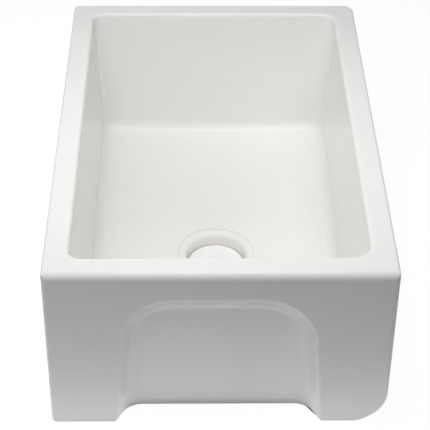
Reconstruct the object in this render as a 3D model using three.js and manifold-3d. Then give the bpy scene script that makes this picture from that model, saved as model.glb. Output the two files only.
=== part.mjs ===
// Farmhouse sink with an arched apron front: one deep fireclay bowl, and the basket-strainer waste
// in its drain. Millimetres, +Z up. The origin is the middle of the base plane; the apron faces -Y.

import * as THREE from 'three';
import { mergeVertices } from 'three/addons/utils/BufferGeometryUtils.js';
import Module from 'manifold-3d';

const wasm = await Module();
wasm.setup();

// ---------------------------------------------------------------- driving dimensions

// Fireclay body, outside
const bodyWidth = 457.2; // across the apron
const bodyDepth = 698; // apron face to back
const bodyHeight = 260; // base to rim
const rimFrontRadius = 11; // outer edge of the rim over the apron
const rimSideRadius = 4; // and over the sides
const rimBackRadius = 6; // and over the back
const apronEdgeRadius = 7; // upright edges of the apron
const baseEdgeRadius = 3;
const backLeftCorner = 10; // upright corners at the back, seen from above
const backRightCorner = 17;
const footCornerRadius = 48; // outer corner of the right foot, seen from the front
const footCornerRun = 60; // how far back that corner keeps its radius
const footCornerFade = 50; // and over what length it then dies away

// Bowl
const sideWall = 33.6; // wall thickness at the rim
const backWall = 32;
const frontWall = 37.9;
const sideDraft = 9; // how far the side walls lean in by the floor
const backDraft = 4.5;
const frontDraft = 13; // the front wall leans most, to clear the arch
const lipRadius = 5; // rim to wall
const bowlCornerRadii = [16, 28, 22, 17]; // upright corners inside, anticlockwise from the front left
const bowlFillet = 21; // wall to floor
const floorThickness = 24; // at the drain
const floorRiseSide = 4.5; // the floor is dished: its rise at the side walls
const floorRiseEnd = 2; // and at the end walls

// Underside
const pocketDepth = 10; // recess inside the foot ring
const pocketCornerRadius = 26;
const footWidth = 26; // width of the foot ring

// Arched recess in the apron
const archTopMargin = 41.6; // rim down to the top of the arch
const archHalfWidth = 140.5; // at the base
const archTaper = 0.088; // how much narrower per millimetre of height, each side
const archLeftRadius = 70; // top corners
const archRightRadius = 78;
const archOffset = -1.2; // the arch stands slightly left of the middle
const archDepth = 33;
const archSideSplay = THREE.MathUtils.degToRad(62); // side wall against the apron face
const archSideFillet = 30;
const archTopSplay = THREE.MathUtils.degToRad(40); // the arch's ceiling is a softer slope
const archTopFillet = 15;
const archBlend = 3; // how tightly the ceiling turns into the side walls

// Drain
const drainFromFront = 328.5; // apron face to the drain's middle
const drainRadius = 47;
const drainFlat = 7; // level floor round the flange
const running = 0.3; // gap left between pieces that seat on or turn in each other
const seatWidth = 10.6; // rebate around the hole that takes the flange
const seatDepth = 3.8;

// Strainer body
const sheet = 1.4; // its wall
const cupClearance = 0.8; // cup to the fireclay hole
const flangeLipRadius = 8; // rolled edge between flange and cup
const cupDepth = 50; // flange top to the start of the seat
const seatDrop = 7; // rounded foot of the cup
const seatSlope = 4; // fall of the cone that the stopper closes on
const seatLedge = 5.8; // how far the rounded foot comes in
const outletRadius = 19.3; // bore of the outlet
const outletWall = 3.7;
const outletLength = 23;
const hubRadius = 5.6; // guide for the post, in the outlet
const hubHeight = 4;
const hubDrop = 6; // outlet mouth down to the hub
const spokeWidth = 2.4;
const spokeCount = 4;

// Fixing under the bowl
const gasketThickness = 3;
const gasketWidth = 13;
const frictionRingThickness = 1;
const lockNutHeight = 14;
const lockNutWall = 9;
const lugCount = 6;
const lugReach = 6; // how far the lock nut's lugs stand out
const lugWidth = 12;

// Tailpiece and its joint
const tailpieceRadius = 19.05;
const tailpieceWall = 1.25;
const tailpieceLength = 102;
const tailpieceFlange = 3.3; // width of its flanged top
const tailpieceFlangeThickness = 2;
const washerThickness = 2;
const couplingWall = 5.5;
const couplingHeight = 24;
const couplingLip = 3.5;
const couplingRibs = 12;

// Basket
const basketSheet = 1.2;
const basketRimGap = 1.6; // basket rim to the cup
const basketRimWidth = 6;
const basketDepth = 20;
const basketFloorRadius = 30;
const basketCorner = 5; // floor to wall
const holeRadius = 1.6;
const holeRows = [
  { radius: 13, count: 8 },
  { radius: 19, count: 12 },
  { radius: 25, count: 16 },
];
const capLift = 9; // basket rim up to the cap
const capThickness = 3;
const capRingGap = 0.9; // cap ring to the cup
const capRingWidth = 1.4;
const capRingHeight = 2.2;
const sleeveWall = 2.6;
const postRadius = 2.5;
const postTail = 6; // how far the post reaches below the hub
const knobRadius = 8.5;
const knobHeight = 5.6;
const knobNeckRadius = 6.1;
const knobNeckHeight = 1.7;
const knobEdgeRadius = 1.2;
const stopperThickness = 4;
const stopperOverhang = 11; // stopper beyond the outlet's mouth
const stopperNutHeight = 2.6;
const stopperNutRadius = 6;
const clipWire = 0.8; // radius of the spring clip's wire
const clipOpening = THREE.MathUtils.degToRad(70);

// Facets
const turnSides = 40; // sides of the turned pieces
const smallSides = 24;
const cornerSteps = 6;
const edgeSteps = 3; // small rounded edges
const clipSteps = 16;
const floorShares = [0.3, 0.6, 0.85, 1]; // rings over the dished floor, from the walls to the drain
const archShares = [0, 0.05, 0.1, 0.16, 0.23, 0.3, 0.34, 0.38, 0.42, 0.5, 0.6, 0.8, 1]; // rings over the arch

// ---------------------------------------------------------------- derived places

const frontY = -bodyDepth / 2;
const backY = bodyDepth / 2;
const leftX = -bodyWidth / 2;
const rightX = bodyWidth / 2;
const floorTop = pocketDepth + floorThickness; // floor at the drain
const drainY = frontY + drainFromFront;
const archTop = bodyHeight - archTopMargin;

const cupOuter = drainRadius - cupClearance;
const cupInner = cupOuter - sheet;
const flangeOuter = drainRadius + seatWidth - running;
const seatTop = floorTop - cupDepth; // where the cup's foot begins
const seatConeTop = seatTop - seatDrop;
const outletTop = seatConeTop - seatSlope;
const outletEnd = outletTop - outletLength;
const outletOuter = outletRadius + outletWall;

const hubTop = outletTop - hubDrop;
const hubBottom = hubTop - hubHeight;

const gasketTop = pocketDepth - running;
const frictionRingTop = gasketTop - gasketThickness - running;
const lockNutTop = frictionRingTop - frictionRingThickness - running;
const lockNutInner = cupOuter + running;
const lockNutOuter = lockNutInner + lockNutWall;

const washerTop = outletEnd - running;
const tailpieceTop = washerTop - washerThickness - running;
const couplingLipTop = tailpieceTop - tailpieceFlangeThickness - running;
const couplingBottom = couplingLipTop - couplingLip;
const couplingInner = outletOuter + running;
const couplingOuter = couplingInner + couplingWall;

const stopperRadius = outletRadius + stopperOverhang;
const stopperTop = seatConeTop + stopperThickness;
const basketBottom = stopperTop + running;
const basketFloor = basketBottom + basketSheet;
const basketRim = basketBottom + basketDepth;
const basketRimRadius = cupInner - basketRimGap;
const basketNeckRadius = basketRimRadius - basketRimWidth;
const capRingOuter = cupInner - capRingGap;
const capRadius = capRingOuter - capRingWidth - running;
const capBottom = basketRim + capLift;
const capTop = capBottom + capThickness;
const sleeveInner = postRadius + running;
const sleeveOuter = sleeveInner + sleeveWall;
const knobBottom = capTop + running;
const stopperNutTop = outletTop - running;

// ---------------------------------------------------------------- solids

/** A closed three.js geometry as a solid that can be cut and joined. */
function solid(geometry) {
  const bare = geometry.clone();
  bare.deleteAttribute('normal');
  bare.deleteAttribute('uv');
  const merged = mergeVertices(bare, 1e-4);
  const vertProperties = Float32Array.from(merged.attributes.position.array);
  const triVerts = Uint32Array.from(merged.index.array);
  const mesh = new wasm.Mesh({ numProp: 3, vertProperties, triVerts });
  return new wasm.Manifold(mesh);
}

/** The solid's triangles as a geometry again. */
function geometryOf(manifold) {
  const mesh = manifold.getMesh();
  const geometry = new THREE.BufferGeometry();
  geometry.setAttribute('position', new THREE.BufferAttribute(Float32Array.from(mesh.vertProperties), 3));
  geometry.setIndex(new THREE.BufferAttribute(Uint32Array.from(mesh.triVerts), 1));
  return geometry;
}

function signedVolume(points, triangles) {
  let sum = 0;
  for (let i = 0; i < triangles.length; i += 3) {
    const [a, b, c] = [points[triangles[i]], points[triangles[i + 1]], points[triangles[i + 2]]];
    sum += a.dot(b.clone().cross(c));
  }
  return sum / 6;
}

/** A closed skin over a stack of rings with equally many points; the end rings are capped with fans. */
function loft(rings) {
  const count = rings[0].length;
  const points = rings.flat();
  const triangles = [];
  for (let ring = 0; ring + 1 < rings.length; ring++) {
    for (let i = 0; i < count; i++) {
      const next = (i + 1) % count;
      const [a, b] = [ring * count + i, ring * count + next];
      const [c, d] = [a + count, b + count];
      triangles.push(a, b, d, a, d, c);
    }
  }
  const cap = (ring, first, flip) => {
    const middle = new THREE.Vector3();
    ring.forEach((point) => middle.add(point));
    points.push(middle.divideScalar(count));
    for (let i = 0; i < count; i++) {
      const next = (i + 1) % count;
      triangles.push(points.length - 1, first + (flip ? next : i), first + (flip ? i : next));
    }
  };
  cap(rings[0], 0, true);
  cap(rings[rings.length - 1], (rings.length - 1) * count, false);
  if (signedVolume(points, triangles) < 0) triangles.reverse();
  const geometry = new THREE.BufferGeometry().setFromPoints(points);
  geometry.setIndex(triangles);
  return geometry;
}

/** Points round a rectangle with rounded corners, anticlockwise from its low corner. */
function roundedRectangle(low, high, radii, sideSteps = 0) {
  const corners = [
    { x: low.x, y: low.y, turn: Math.PI, inX: 1, inY: 1 },
    { x: high.x, y: low.y, turn: 1.5 * Math.PI, inX: -1, inY: 1 },
    { x: high.x, y: high.y, turn: 0, inX: -1, inY: -1 },
    { x: low.x, y: high.y, turn: 0.5 * Math.PI, inX: 1, inY: -1 },
  ];
  const arcs = corners.map((corner, k) => {
    const centre = new THREE.Vector2(corner.x + corner.inX * radii[k], corner.y + corner.inY * radii[k]);
    return Array.from({ length: cornerSteps + 1 }, (_, i) => {
      const angle = corner.turn + (i / cornerSteps) * (Math.PI / 2);
      return new THREE.Vector2(Math.cos(angle), Math.sin(angle)).multiplyScalar(radii[k]).add(centre);
    });
  });
  return arcs.flatMap((arc, k) => {
    const from = arc[arc.length - 1];
    const to = arcs[(k + 1) % arcs.length][0];
    const between = Array.from({ length: sideSteps }, (_, i) =>
      from.clone().lerp(to, (i + 1) / (sideSteps + 1)),
    );
    return [...arc, ...between];
  });
}

/** A turned solid about +Z; its profile of [radius, height] points closes on itself or on the axis. */
function turned(profile, sides = turnSides) {
  const points = profile.map(([radius, height]) => new THREE.Vector2(radius, height));
  if (points.some((point) => point.x > 0) && points[0].x > 0) points.push(points[0].clone());
  const lathe = new THREE.LatheGeometry(points, sides);
  lathe.rotateX(Math.PI / 2);
  const shape = solid(lathe);
  if (shape.volume() > 0) return shape;
  const inside = lathe.clone();
  inside.setIndex(Array.from(lathe.index.array).reverse());
  return solid(inside);
}

/** Points of a round stretch in a profile, between two angles in degrees. */
function arc(radius, centreRadius, centreHeight, from, to, steps = cornerSteps) {
  return Array.from({ length: steps + 1 }, (_, i) => {
    const angle = THREE.MathUtils.degToRad(from + ((to - from) * i) / steps);
    return [centreRadius + radius * Math.cos(angle), centreHeight + radius * Math.sin(angle)];
  });
}

/** A flat ring. */
function ring(inner, outer, bottom, top, sides = turnSides) {
  return turned([[inner, bottom], [outer, bottom], [outer, top], [inner, top]], sides);
}

function block(width, depth, height, x, y, z) {
  return solid(new THREE.BoxGeometry(width, depth, height).translate(x, y, z));
}

/** The same shape placed a number of times round the Z axis, joined. */
function around(count, shape) {
  let all = shape;
  for (let i = 1; i < count; i++) all = all.add(shape.rotate([0, 0, (360 * i) / count]));
  return all;
}

// ---------------------------------------------------------------- fireclay body

/** Height of the dished floor over a point of the plan. */
function floorHeight(x, y) {
  const side = x / (rightX - sideWall);
  const end = (y - drainY) / (y > drainY ? backY - backWall - drainY : drainY - frontY - frontWall);
  return floorTop + floorRiseSide * side * side + floorRiseEnd * end * end;
}

/** The outer block: upright sections from the apron to the back. */
function outerBlock() {
  const backRun = Math.max(backLeftCorner, backRightCorner);
  const section = (y, insets, footRadius) => {
    const low = new THREE.Vector2(leftX + insets.left, insets.base);
    const high = new THREE.Vector2(rightX - insets.right, bodyHeight - insets.top);
    return roundedRectangle(low, high, [baseEdgeRadius, footRadius, rimSideRadius, rimSideRadius]).map(
      (point) => new THREE.Vector3(point.x, y, point.y),
    );
  };
  const rings = [];
  for (let i = 0; i <= cornerSteps; i++) {
    const angle = (i / cornerSteps) * (Math.PI / 2);
    const share = 1 - Math.sin(angle);
    const insets = {
      left: apronEdgeRadius * share,
      right: apronEdgeRadius * share,
      top: rimFrontRadius * share,
      base: baseEdgeRadius * share,
    };
    rings.push(section(frontY + rimFrontRadius * (1 - Math.cos(angle)), insets, footCornerRadius));
  }
  const square = { left: 0, right: 0, top: 0, base: 0 };
  rings.push(section(frontY + footCornerRun, square, footCornerRadius));
  for (let i = 1; i <= cornerSteps; i++) {
    const share = (1 + Math.cos((Math.PI * i) / cornerSteps)) / 2;
    const radius = baseEdgeRadius + (footCornerRadius - baseEdgeRadius) * share;
    rings.push(section(frontY + footCornerRun + (footCornerFade * i) / cornerSteps, square, radius));
  }
  for (let i = 0; i <= cornerSteps; i++) {
    const angle = (i / cornerSteps) * (Math.PI / 2);
    const share = 1 - Math.cos(angle);
    const insets = {
      left: backLeftCorner * share,
      right: backRightCorner * share,
      top: rimBackRadius * share,
      base: baseEdgeRadius * share,
    };
    rings.push(section(backY - backRun * (1 - Math.sin(angle)), insets, baseEdgeRadius));
  }
  return solid(loft(rings));
}

/** The bowl's hollow: plan sections from above the rim down to the drain. */
function bowlHollow() {
  const sideSteps = 4;
  const wallDepth = bodyHeight - floorTop;
  const plan = (fall, inset) => {
    const lean = (draft) => draft * (fall / wallDepth) + inset;
    const side = sideWall + lean(sideDraft);
    const low = new THREE.Vector2(leftX + side, frontY + frontWall + lean(frontDraft));
    const high = new THREE.Vector2(rightX - side, backY - backWall - lean(backDraft));
    const radii = bowlCornerRadii.map((radius) => Math.max(radius - inset, 1));
    return roundedRectangle(low, high, radii, sideSteps);
  };
  const level = (outline, z) => outline.map((point) => new THREE.Vector3(point.x, point.y, z));
  const rings = [level(plan(0, -lipRadius), bodyHeight + lipRadius)];
  for (let i = 0; i <= cornerSteps; i++) {
    const angle = (i / cornerSteps) * (Math.PI / 2);
    const inset = -lipRadius * (1 - Math.sin(angle));
    rings.push(level(plan(0, inset), bodyHeight - lipRadius * (1 - Math.cos(angle))));
  }
  const wallFoot = plan(wallDepth, 0);
  const foot = wallFoot.map((point) => floorHeight(point.x, point.y) + bowlFillet);
  for (let i = 0; i <= cornerSteps; i++) {
    const angle = (i / cornerSteps) * (Math.PI / 2);
    const inset = bowlFillet * (1 - Math.cos(angle));
    const fall = wallDepth - bowlFillet * (1 - Math.sin(angle));
    rings.push(
      plan(fall, inset).map((point, k) => {
        const z = foot[k] - bowlFillet * Math.sin(angle);
        return new THREE.Vector3(point.x, point.y, z);
      }),
    );
  }
  const edge = rings[rings.length - 1];
  const flat = drainRadius + seatWidth + drainFlat;
  for (const share of floorShares) {
    rings.push(
      edge.map((point) => {
        const bearing = Math.atan2(point.y - drainY, point.x);
        const x = THREE.MathUtils.lerp(point.x, flat * Math.cos(bearing), share);
        const y = THREE.MathUtils.lerp(point.y, drainY + flat * Math.sin(bearing), share);
        return new THREE.Vector3(x, y, share === 1 ? floorTop : floorHeight(x, y));
      }),
    );
  }
  return solid(loft(rings));
}

/** The hole through the floor, with the rebate that takes the strainer's flange. */
function drainHollow() {
  const seatRadius = drainRadius + seatWidth;
  const seatHeight = floorTop - seatDepth;
  const roll = Math.min(flangeLipRadius - sheet - running, seatWidth / 2);
  return turned([
    [0, -bodyHeight],
    [drainRadius, -bodyHeight],
    ...arc(roll, drainRadius + roll, seatHeight - roll, 180, 90),
    [seatRadius, seatHeight],
    [seatRadius, bodyHeight],
    [0, bodyHeight],
  ]).translate([0, drainY, 0]);
}

/** The shallow recess inside the foot ring. */
function undersidePocket() {
  const low = new THREE.Vector2(leftX + footWidth, frontY + archDepth + footWidth);
  const high = new THREE.Vector2(rightX - footWidth, backY - footWidth);
  const outline = new THREE.Shape(roundedRectangle(low, high, Array(4).fill(pocketCornerRadius)));
  const pocket = new THREE.ExtrudeGeometry(outline, { depth: 2 * pocketDepth, bevelEnabled: false });
  return solid(pocket.translate(0, 0, -pocketDepth));
}

/** Depth of a wall that leaves a face at the splay angle and turns into the bottom by a fillet. */
function splayedDepth(distance, splay, fillet, full) {
  const turnDepth = Math.min(fillet * (1 - Math.cos(splay)), full);
  const straightRun = (full - turnDepth) / Math.tan(splay);
  const fromFlat = straightRun + fillet * Math.sin(splay) - distance;
  if (distance <= straightRun) return distance * Math.tan(splay);
  if (fromFlat <= 0) return full;
  return full - fillet + Math.sqrt(fillet * fillet - fromFlat * fromFlat);
}

/** One top corner of the arch: its circle, on the side that x lies. */
function archCorner(x) {
  const radius = x < archOffset ? archLeftRadius : archRightRadius;
  const height = archTop - radius;
  return { radius, height, reach: archHalfWidth - archTaper * height - radius };
}

/** Depth of the recess behind a point of the apron face. */
function archRecess(x, z) {
  const corner = archCorner(x);
  const across = Math.abs(x - archOffset);
  const above = z - corner.height;
  const beyond = across - corner.reach;
  const inCircle = (value) => Math.sqrt(Math.max(corner.radius ** 2 - value ** 2, 0));
  const edge = above > 0 ? corner.reach + inCircle(above) : archHalfWidth - archTaper * z;
  let ceiling = archTop;
  if (beyond > corner.radius) ceiling = (archHalfWidth - across) / archTaper;
  else if (beyond > 0) ceiling = corner.height + inCircle(beyond);
  const least = 1e-3;
  const reached = (distance, splay, fillet) =>
    splayedDepth(Math.max(distance, least), splay, fillet, archDepth) / archDepth;
  const side = reached(edge - across, archSideSplay, archSideFillet);
  const top = reached(ceiling - z, archTopSplay, archTopFillet);
  return archDepth * (side ** -archBlend + top ** -archBlend - 1) ** (-1 / archBlend);
}

/** The arch's outline on the apron face, from below the left foot over the top to below the right foot. */
function archOutline() {
  const sideSteps = 7;
  const below = -bodyHeight / 10;
  const side = (sign) => {
    const { height } = archCorner(archOffset + sign);
    return Array.from({ length: sideSteps }, (_, i) => {
      const z = THREE.MathUtils.lerp(below, height, i / sideSteps);
      return new THREE.Vector2(archOffset + sign * (archHalfWidth - archTaper * z), z);
    });
  };
  const top = (sign) => {
    const { radius, height, reach } = archCorner(archOffset + sign);
    return Array.from({ length: 2 * cornerSteps + 1 }, (_, i) => {
      const angle = (i / (2 * cornerSteps)) * (Math.PI / 2);
      const x = archOffset + sign * (reach + radius * Math.cos(angle));
      return new THREE.Vector2(x, height + radius * Math.sin(angle));
    });
  };
  const leftUp = [...side(-1), ...top(-1)];
  const rightDown = [...side(1), ...top(1)].reverse();
  const from = leftUp[leftUp.length - 1];
  const over = Array.from({ length: sideSteps }, (_, i) =>
    from.clone().lerp(rightDown[0], (i + 1) / (sideSteps + 1)),
  );
  return [...leftUp, ...over, ...rightDown];
}

/** The arched recess: the outline drawn in to its flat back, each point as deep as the recess is there. */
function archHollow() {
  const outline = archOutline();
  const flatHalf = archHalfWidth / 2;
  const flatTop = archTop / 2;
  const clearance = archDepth / 3; // how far the cutter stands out in front of the apron
  const rings = [outline.map((point) => new THREE.Vector3(point.x, frontY - clearance, point.y))];
  for (const share of archShares) {
    rings.push(
      outline.map((point) => {
        const inner = new THREE.Vector2(
          THREE.MathUtils.clamp(point.x, archOffset - flatHalf, archOffset + flatHalf),
          Math.min(point.y, flatTop),
        );
        const { x, y: z } = point.clone().lerp(inner, share);
        return new THREE.Vector3(x, frontY + (share === 0 ? 0 : archRecess(x, z)), z);
      }),
    );
  }
  return solid(loft(rings));
}

function sinkBody() {
  return outerBlock()
    .subtract(bowlHollow())
    .subtract(drainHollow())
    .subtract(undersidePocket())
    .subtract(archHollow());
}

// ---------------------------------------------------------------- waste: fixed pieces, about x = 0, y = 0

/** Soft ring that beds the flange in its rebate. */
function flangeSeal() {
  const bottom = floorTop - seatDepth + running;
  const top = floorTop - sheet - running;
  return ring(drainRadius + flangeLipRadius - running, flangeOuter - running, bottom, top);
}

/** Flange, cup, seat and outlet in one pressing, with the post's guide across the outlet. */
function strainerBody() {
  const lipCentre = cupInner + flangeLipRadius;
  const lipHeight = floorTop - flangeLipRadius;
  const footRadius = cupInner - seatLedge;
  const profile = [
    [flangeOuter, floorTop - sheet],
    [flangeOuter, floorTop],
    ...arc(flangeLipRadius, lipCentre, lipHeight, 90, 180),
    [cupInner, seatTop],
    [cupInner - seatLedge / 3, seatTop - (2 * seatDrop) / 3],
    [footRadius, seatConeTop],
    [outletRadius, outletTop],
    [outletRadius, outletEnd],
    [outletOuter, outletEnd],
    [outletOuter, outletTop - sheet],
    [footRadius, seatConeTop - sheet],
    [cupOuter - seatLedge / 3, seatTop - (2 * seatDrop) / 3 - sheet / 2],
    [cupOuter, seatTop],
    ...arc(flangeLipRadius - sheet, lipCentre, lipHeight, 180, 90),
  ];
  const hub = ring(postRadius + 2 * running, hubRadius, hubBottom, hubTop);
  const spokeLength = outletRadius + outletWall / 2 - hubRadius + sheet;
  const spokeMiddle = hubRadius - sheet + spokeLength / 2;
  const spoke = block(spokeLength, spokeWidth, hubHeight, spokeMiddle, 0, (hubTop + hubBottom) / 2);
  return turned(profile).add(hub).add(around(spokeCount, spoke));
}

function undersideGasket() {
  return ring(lockNutInner, lockNutInner + gasketWidth, gasketTop - gasketThickness, gasketTop);
}

function frictionRing() {
  const bottom = frictionRingTop - frictionRingThickness;
  return ring(lockNutInner, lockNutInner + gasketWidth, bottom, frictionRingTop);
}

/** The nut that pulls the strainer down on the fireclay, with lugs to turn it by. */
function lockNut() {
  const bottom = lockNutTop - lockNutHeight;
  const lugLength = lugReach + lockNutWall / 2;
  const lugMiddle = lockNutOuter - lockNutWall / 2 + lugLength / 2;
  const lug = block(lugLength, lugWidth, lockNutHeight, lugMiddle, 0, (lockNutTop + bottom) / 2);
  return ring(lockNutInner, lockNutOuter, bottom, lockNutTop).add(around(lugCount, lug));
}

function tailpieceWasher() {
  return ring(outletRadius, outletOuter - running, washerTop - washerThickness, washerTop);
}

/** Nut that clamps the tailpiece's flanged top to the outlet. */
function couplingNut() {
  const top = couplingBottom + couplingHeight;
  const shell = turned([
    [tailpieceRadius + running, couplingBottom],
    [couplingOuter, couplingBottom],
    [couplingOuter, top],
    [couplingInner, top],
    [couplingInner, couplingLipTop],
    [tailpieceRadius + running, couplingLipTop],
  ]);
  const ribDepth = couplingWall / 3;
  const middle = couplingOuter + ribDepth / 4;
  const rib = block(ribDepth, ribDepth, couplingHeight, middle, 0, (couplingBottom + top) / 2);
  return shell.add(around(couplingRibs, rib));
}

function tailpiece() {
  const inner = tailpieceRadius - tailpieceWall;
  const flange = Math.min(tailpieceRadius + tailpieceFlange, couplingInner - running);
  const shoulder = tailpieceTop - tailpieceFlangeThickness;
  return turned([
    [inner, tailpieceTop - tailpieceLength],
    [tailpieceRadius, tailpieceTop - tailpieceLength],
    [tailpieceRadius, shoulder],
    [flange, shoulder],
    [flange, tailpieceTop],
    [inner, tailpieceTop],
  ]);
}

/** Open wire ring under the hub that grips the post. */
function springClip() {
  const reach = postRadius + running + clipWire;
  const height = hubBottom - running - clipWire;
  const sweep = 2 * Math.PI - clipOpening;
  const points = Array.from({ length: clipSteps + 1 }, (_, i) => {
    const angle = clipOpening / 2 + (sweep * i) / clipSteps;
    return new THREE.Vector3(reach * Math.cos(angle), reach * Math.sin(angle), height);
  });
  const section = new THREE.Shape().absarc(0, 0, clipWire, 0, 2 * Math.PI);
  const wire = new THREE.ExtrudeGeometry(section, {
    steps: clipSteps,
    curveSegments: 4,
    bevelEnabled: false,
    extrudePath: new THREE.CatmullRomCurve3(points),
  });
  return solid(wire);
}

// ---------------------------------------------------------------- waste: basket

/** Rubber stopper that closes the outlet when the basket is down. */
function stopperSeal() {
  const coneSlope = seatSlope / (cupInner - seatLedge - outletRadius);
  const rimUnderside = outletTop + coneSlope * (stopperRadius - outletRadius) + running;
  const plugRadius = outletRadius - running;
  return turned([
    [postRadius + running, stopperNutTop + running],
    [plugRadius, stopperNutTop + running],
    [plugRadius, outletTop + 2 * running],
    [stopperRadius, rimUnderside + running],
    [stopperRadius, stopperTop - running],
    [stopperRadius - running, stopperTop],
    [postRadius + running, stopperTop],
  ]);
}

function stopperNut() {
  const hexagon = new THREE.CylinderGeometry(stopperNutRadius, stopperNutRadius, stopperNutHeight, 6);
  const middle = stopperNutTop - stopperNutHeight / 2;
  const bore = postRadius + running;
  const hole = turned([[0, hubBottom], [bore, hubBottom], [bore, capTop], [0, capTop]]);
  return solid(hexagon.rotateX(Math.PI / 2).translate(0, 0, middle)).subtract(hole);
}

/** Post that carries stopper and knob, and that the basket turns on. */
function basketPost() {
  const tip = hubBottom - postTail;
  return turned(
    [[0, tip], [postRadius / 2, tip], [postRadius, tip + postRadius], [postRadius, capTop], [0, capTop]],
    smallSides,
  );
}

/** Low pull on top of the cap. */
function pullKnob() {
  const top = knobBottom + knobHeight;
  const neckTop = knobBottom + knobNeckHeight;
  const edge = knobRadius - knobEdgeRadius;
  return turned(
    [
      [0, knobBottom],
      [knobNeckRadius, knobBottom],
      [knobNeckRadius, neckTop],
      ...arc(knobEdgeRadius, edge, neckTop + knobEdgeRadius, -60, 0, edgeSteps),
      ...arc(knobEdgeRadius, edge, top - knobEdgeRadius, 0, 90, edgeSteps),
      [0, top],
    ],
    smallSides,
  );
}

/** Perforated cup that catches what the water carries. */
function basketBowl() {
  const underRim = basketRim - basketSheet;
  const cornerHeight = basketBottom + basketCorner;
  const shell = turned([
    [sleeveInner, basketBottom],
    ...arc(basketCorner, basketFloorRadius, cornerHeight, -90, 0, edgeSteps),
    [basketNeckRadius, underRim],
    [basketRimRadius, underRim],
    [basketRimRadius, basketRim],
    [basketNeckRadius - basketSheet, basketRim],
    ...arc(basketCorner - basketSheet, basketFloorRadius, cornerHeight, 0, -90, edgeSteps),
    [sleeveInner, basketFloor],
  ]);
  const drill = (radius) => {
    const bit = new THREE.CylinderGeometry(holeRadius, holeRadius, 4 * basketSheet, 6);
    return solid(bit.rotateX(Math.PI / 2).translate(radius, 0, basketBottom + basketSheet / 2));
  };
  return holeRows.reduce((bowl, row) => bowl.subtract(around(row.count, drill(row.radius))), shell);
}

/** White cover over the basket, with the sleeve that stands it on the basket's floor. */
function basketCap() {
  const rebate = capTop - capRingHeight - running;
  const ringInner = capRadius - capRingWidth;
  const crown = 0.6;
  return turned([
    [sleeveInner, basketFloor + running],
    [sleeveOuter, basketFloor + running],
    [sleeveOuter, capBottom],
    [ringInner, capBottom],
    [ringInner, rebate],
    [capRadius, rebate],
    [capRadius, capTop - crown],
    [capRadius - crown, capTop],
    [sleeveInner, capTop],
  ]);
}

/** Soft ring round the cap's edge. */
function capRing() {
  const inner = capRadius - capRingWidth + running;
  const top = capTop - running;
  return turned([
    [inner, capBottom],
    [capRingOuter, capBottom],
    [capRingOuter, top],
    [capRadius + running, top],
    [capRadius + running, capTop - capRingHeight - 2 * running],
    [inner, capTop - capRingHeight - 2 * running],
  ]);
}

// ---------------------------------------------------------------- assembly

const finishes = {
  fireclay: { color: 0xecebe6, roughness: 0.12, metalness: 0 },
  whiteEnamel: { color: 0xf0efea, roughness: 0.15, metalness: 0 },
  tanSilicone: { color: 0xcdb89c, roughness: 0.6, metalness: 0 },
  greyRubber: { color: 0x3c3c3a, roughness: 0.8, metalness: 0 },
  fibreBoard: { color: 0xa98d63, roughness: 0.9, metalness: 0 },
  castMetal: { color: 0xb7b5b0, roughness: 0.45, metalness: 1 },
  stainless: { color: 0xc9c8c4, roughness: 0.25, metalness: 1 },
  chromedBrass: { color: 0xdadbdc, roughness: 0.1, metalness: 1 },
  whitePlastic: { color: 0xe6e5e0, roughness: 0.4, metalness: 0 },
};

function piece(name, shape, finish) {
  const mesh = new THREE.Mesh(geometryOf(shape), new THREE.MeshStandardMaterial(finishes[finish]));
  mesh.name = name;
  return mesh;
}

const waste = new THREE.Group();
waste.position.y = drainY;
waste.add(
  piece('flange_seal', flangeSeal(), 'tanSilicone'),
  piece('strainer_body', strainerBody(), 'whiteEnamel'),
  piece('underside_gasket', undersideGasket(), 'greyRubber'),
  piece('friction_ring', frictionRing(), 'fibreBoard'),
  piece('lock_nut', lockNut(), 'castMetal'),
  piece('tailpiece_washer', tailpieceWasher(), 'whitePlastic'),
  piece('coupling_nut', couplingNut(), 'chromedBrass'),
  piece('tailpiece', tailpiece(), 'chromedBrass'),
  piece('spring_clip', springClip(), 'stainless'),
);

const plug = new THREE.Group();
plug.add(
  piece('basket_post', basketPost(), 'stainless'),
  piece('pull_knob', pullKnob(), 'whiteEnamel'),
  piece('stopper_seal', stopperSeal(), 'greyRubber'),
  piece('stopper_nut', stopperNut(), 'stainless'),
);

const basket = new THREE.Group();
basket.add(
  piece('basket_bowl', basketBowl(), 'stainless'),
  piece('basket_cap', basketCap(), 'whiteEnamel'),
  piece('cap_ring', capRing(), 'tanSilicone'),
);
plug.add(basket);
waste.add(plug);

const sink = new THREE.Group();
sink.add(piece('sink_body', sinkBody(), 'fireclay'), waste);

export default sink;
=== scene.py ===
"""Looks of a farmhouse sink with an arched apron front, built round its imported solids."""

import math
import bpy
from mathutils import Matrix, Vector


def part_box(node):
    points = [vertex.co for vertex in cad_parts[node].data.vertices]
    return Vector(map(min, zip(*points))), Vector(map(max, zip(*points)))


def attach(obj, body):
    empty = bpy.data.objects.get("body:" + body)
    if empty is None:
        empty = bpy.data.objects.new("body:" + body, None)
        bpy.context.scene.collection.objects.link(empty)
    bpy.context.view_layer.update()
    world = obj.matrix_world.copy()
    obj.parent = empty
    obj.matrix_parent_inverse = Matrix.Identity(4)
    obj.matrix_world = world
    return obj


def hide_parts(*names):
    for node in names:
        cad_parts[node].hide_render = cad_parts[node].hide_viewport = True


bl_info = {
    "name": "Apron Front Sink",
    "version": (1, 0, 0),
    "blender": (4, 5, 0),
    "location": "View3D > Sidebar > Sink",
    "description": "Glazed fireclay sink with an arched apron and a basket-strainer waste",
    "category": "Add Mesh",
}

import bmesh
import bpy
import numpy as np
from mathutils import Matrix, Vector

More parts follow.
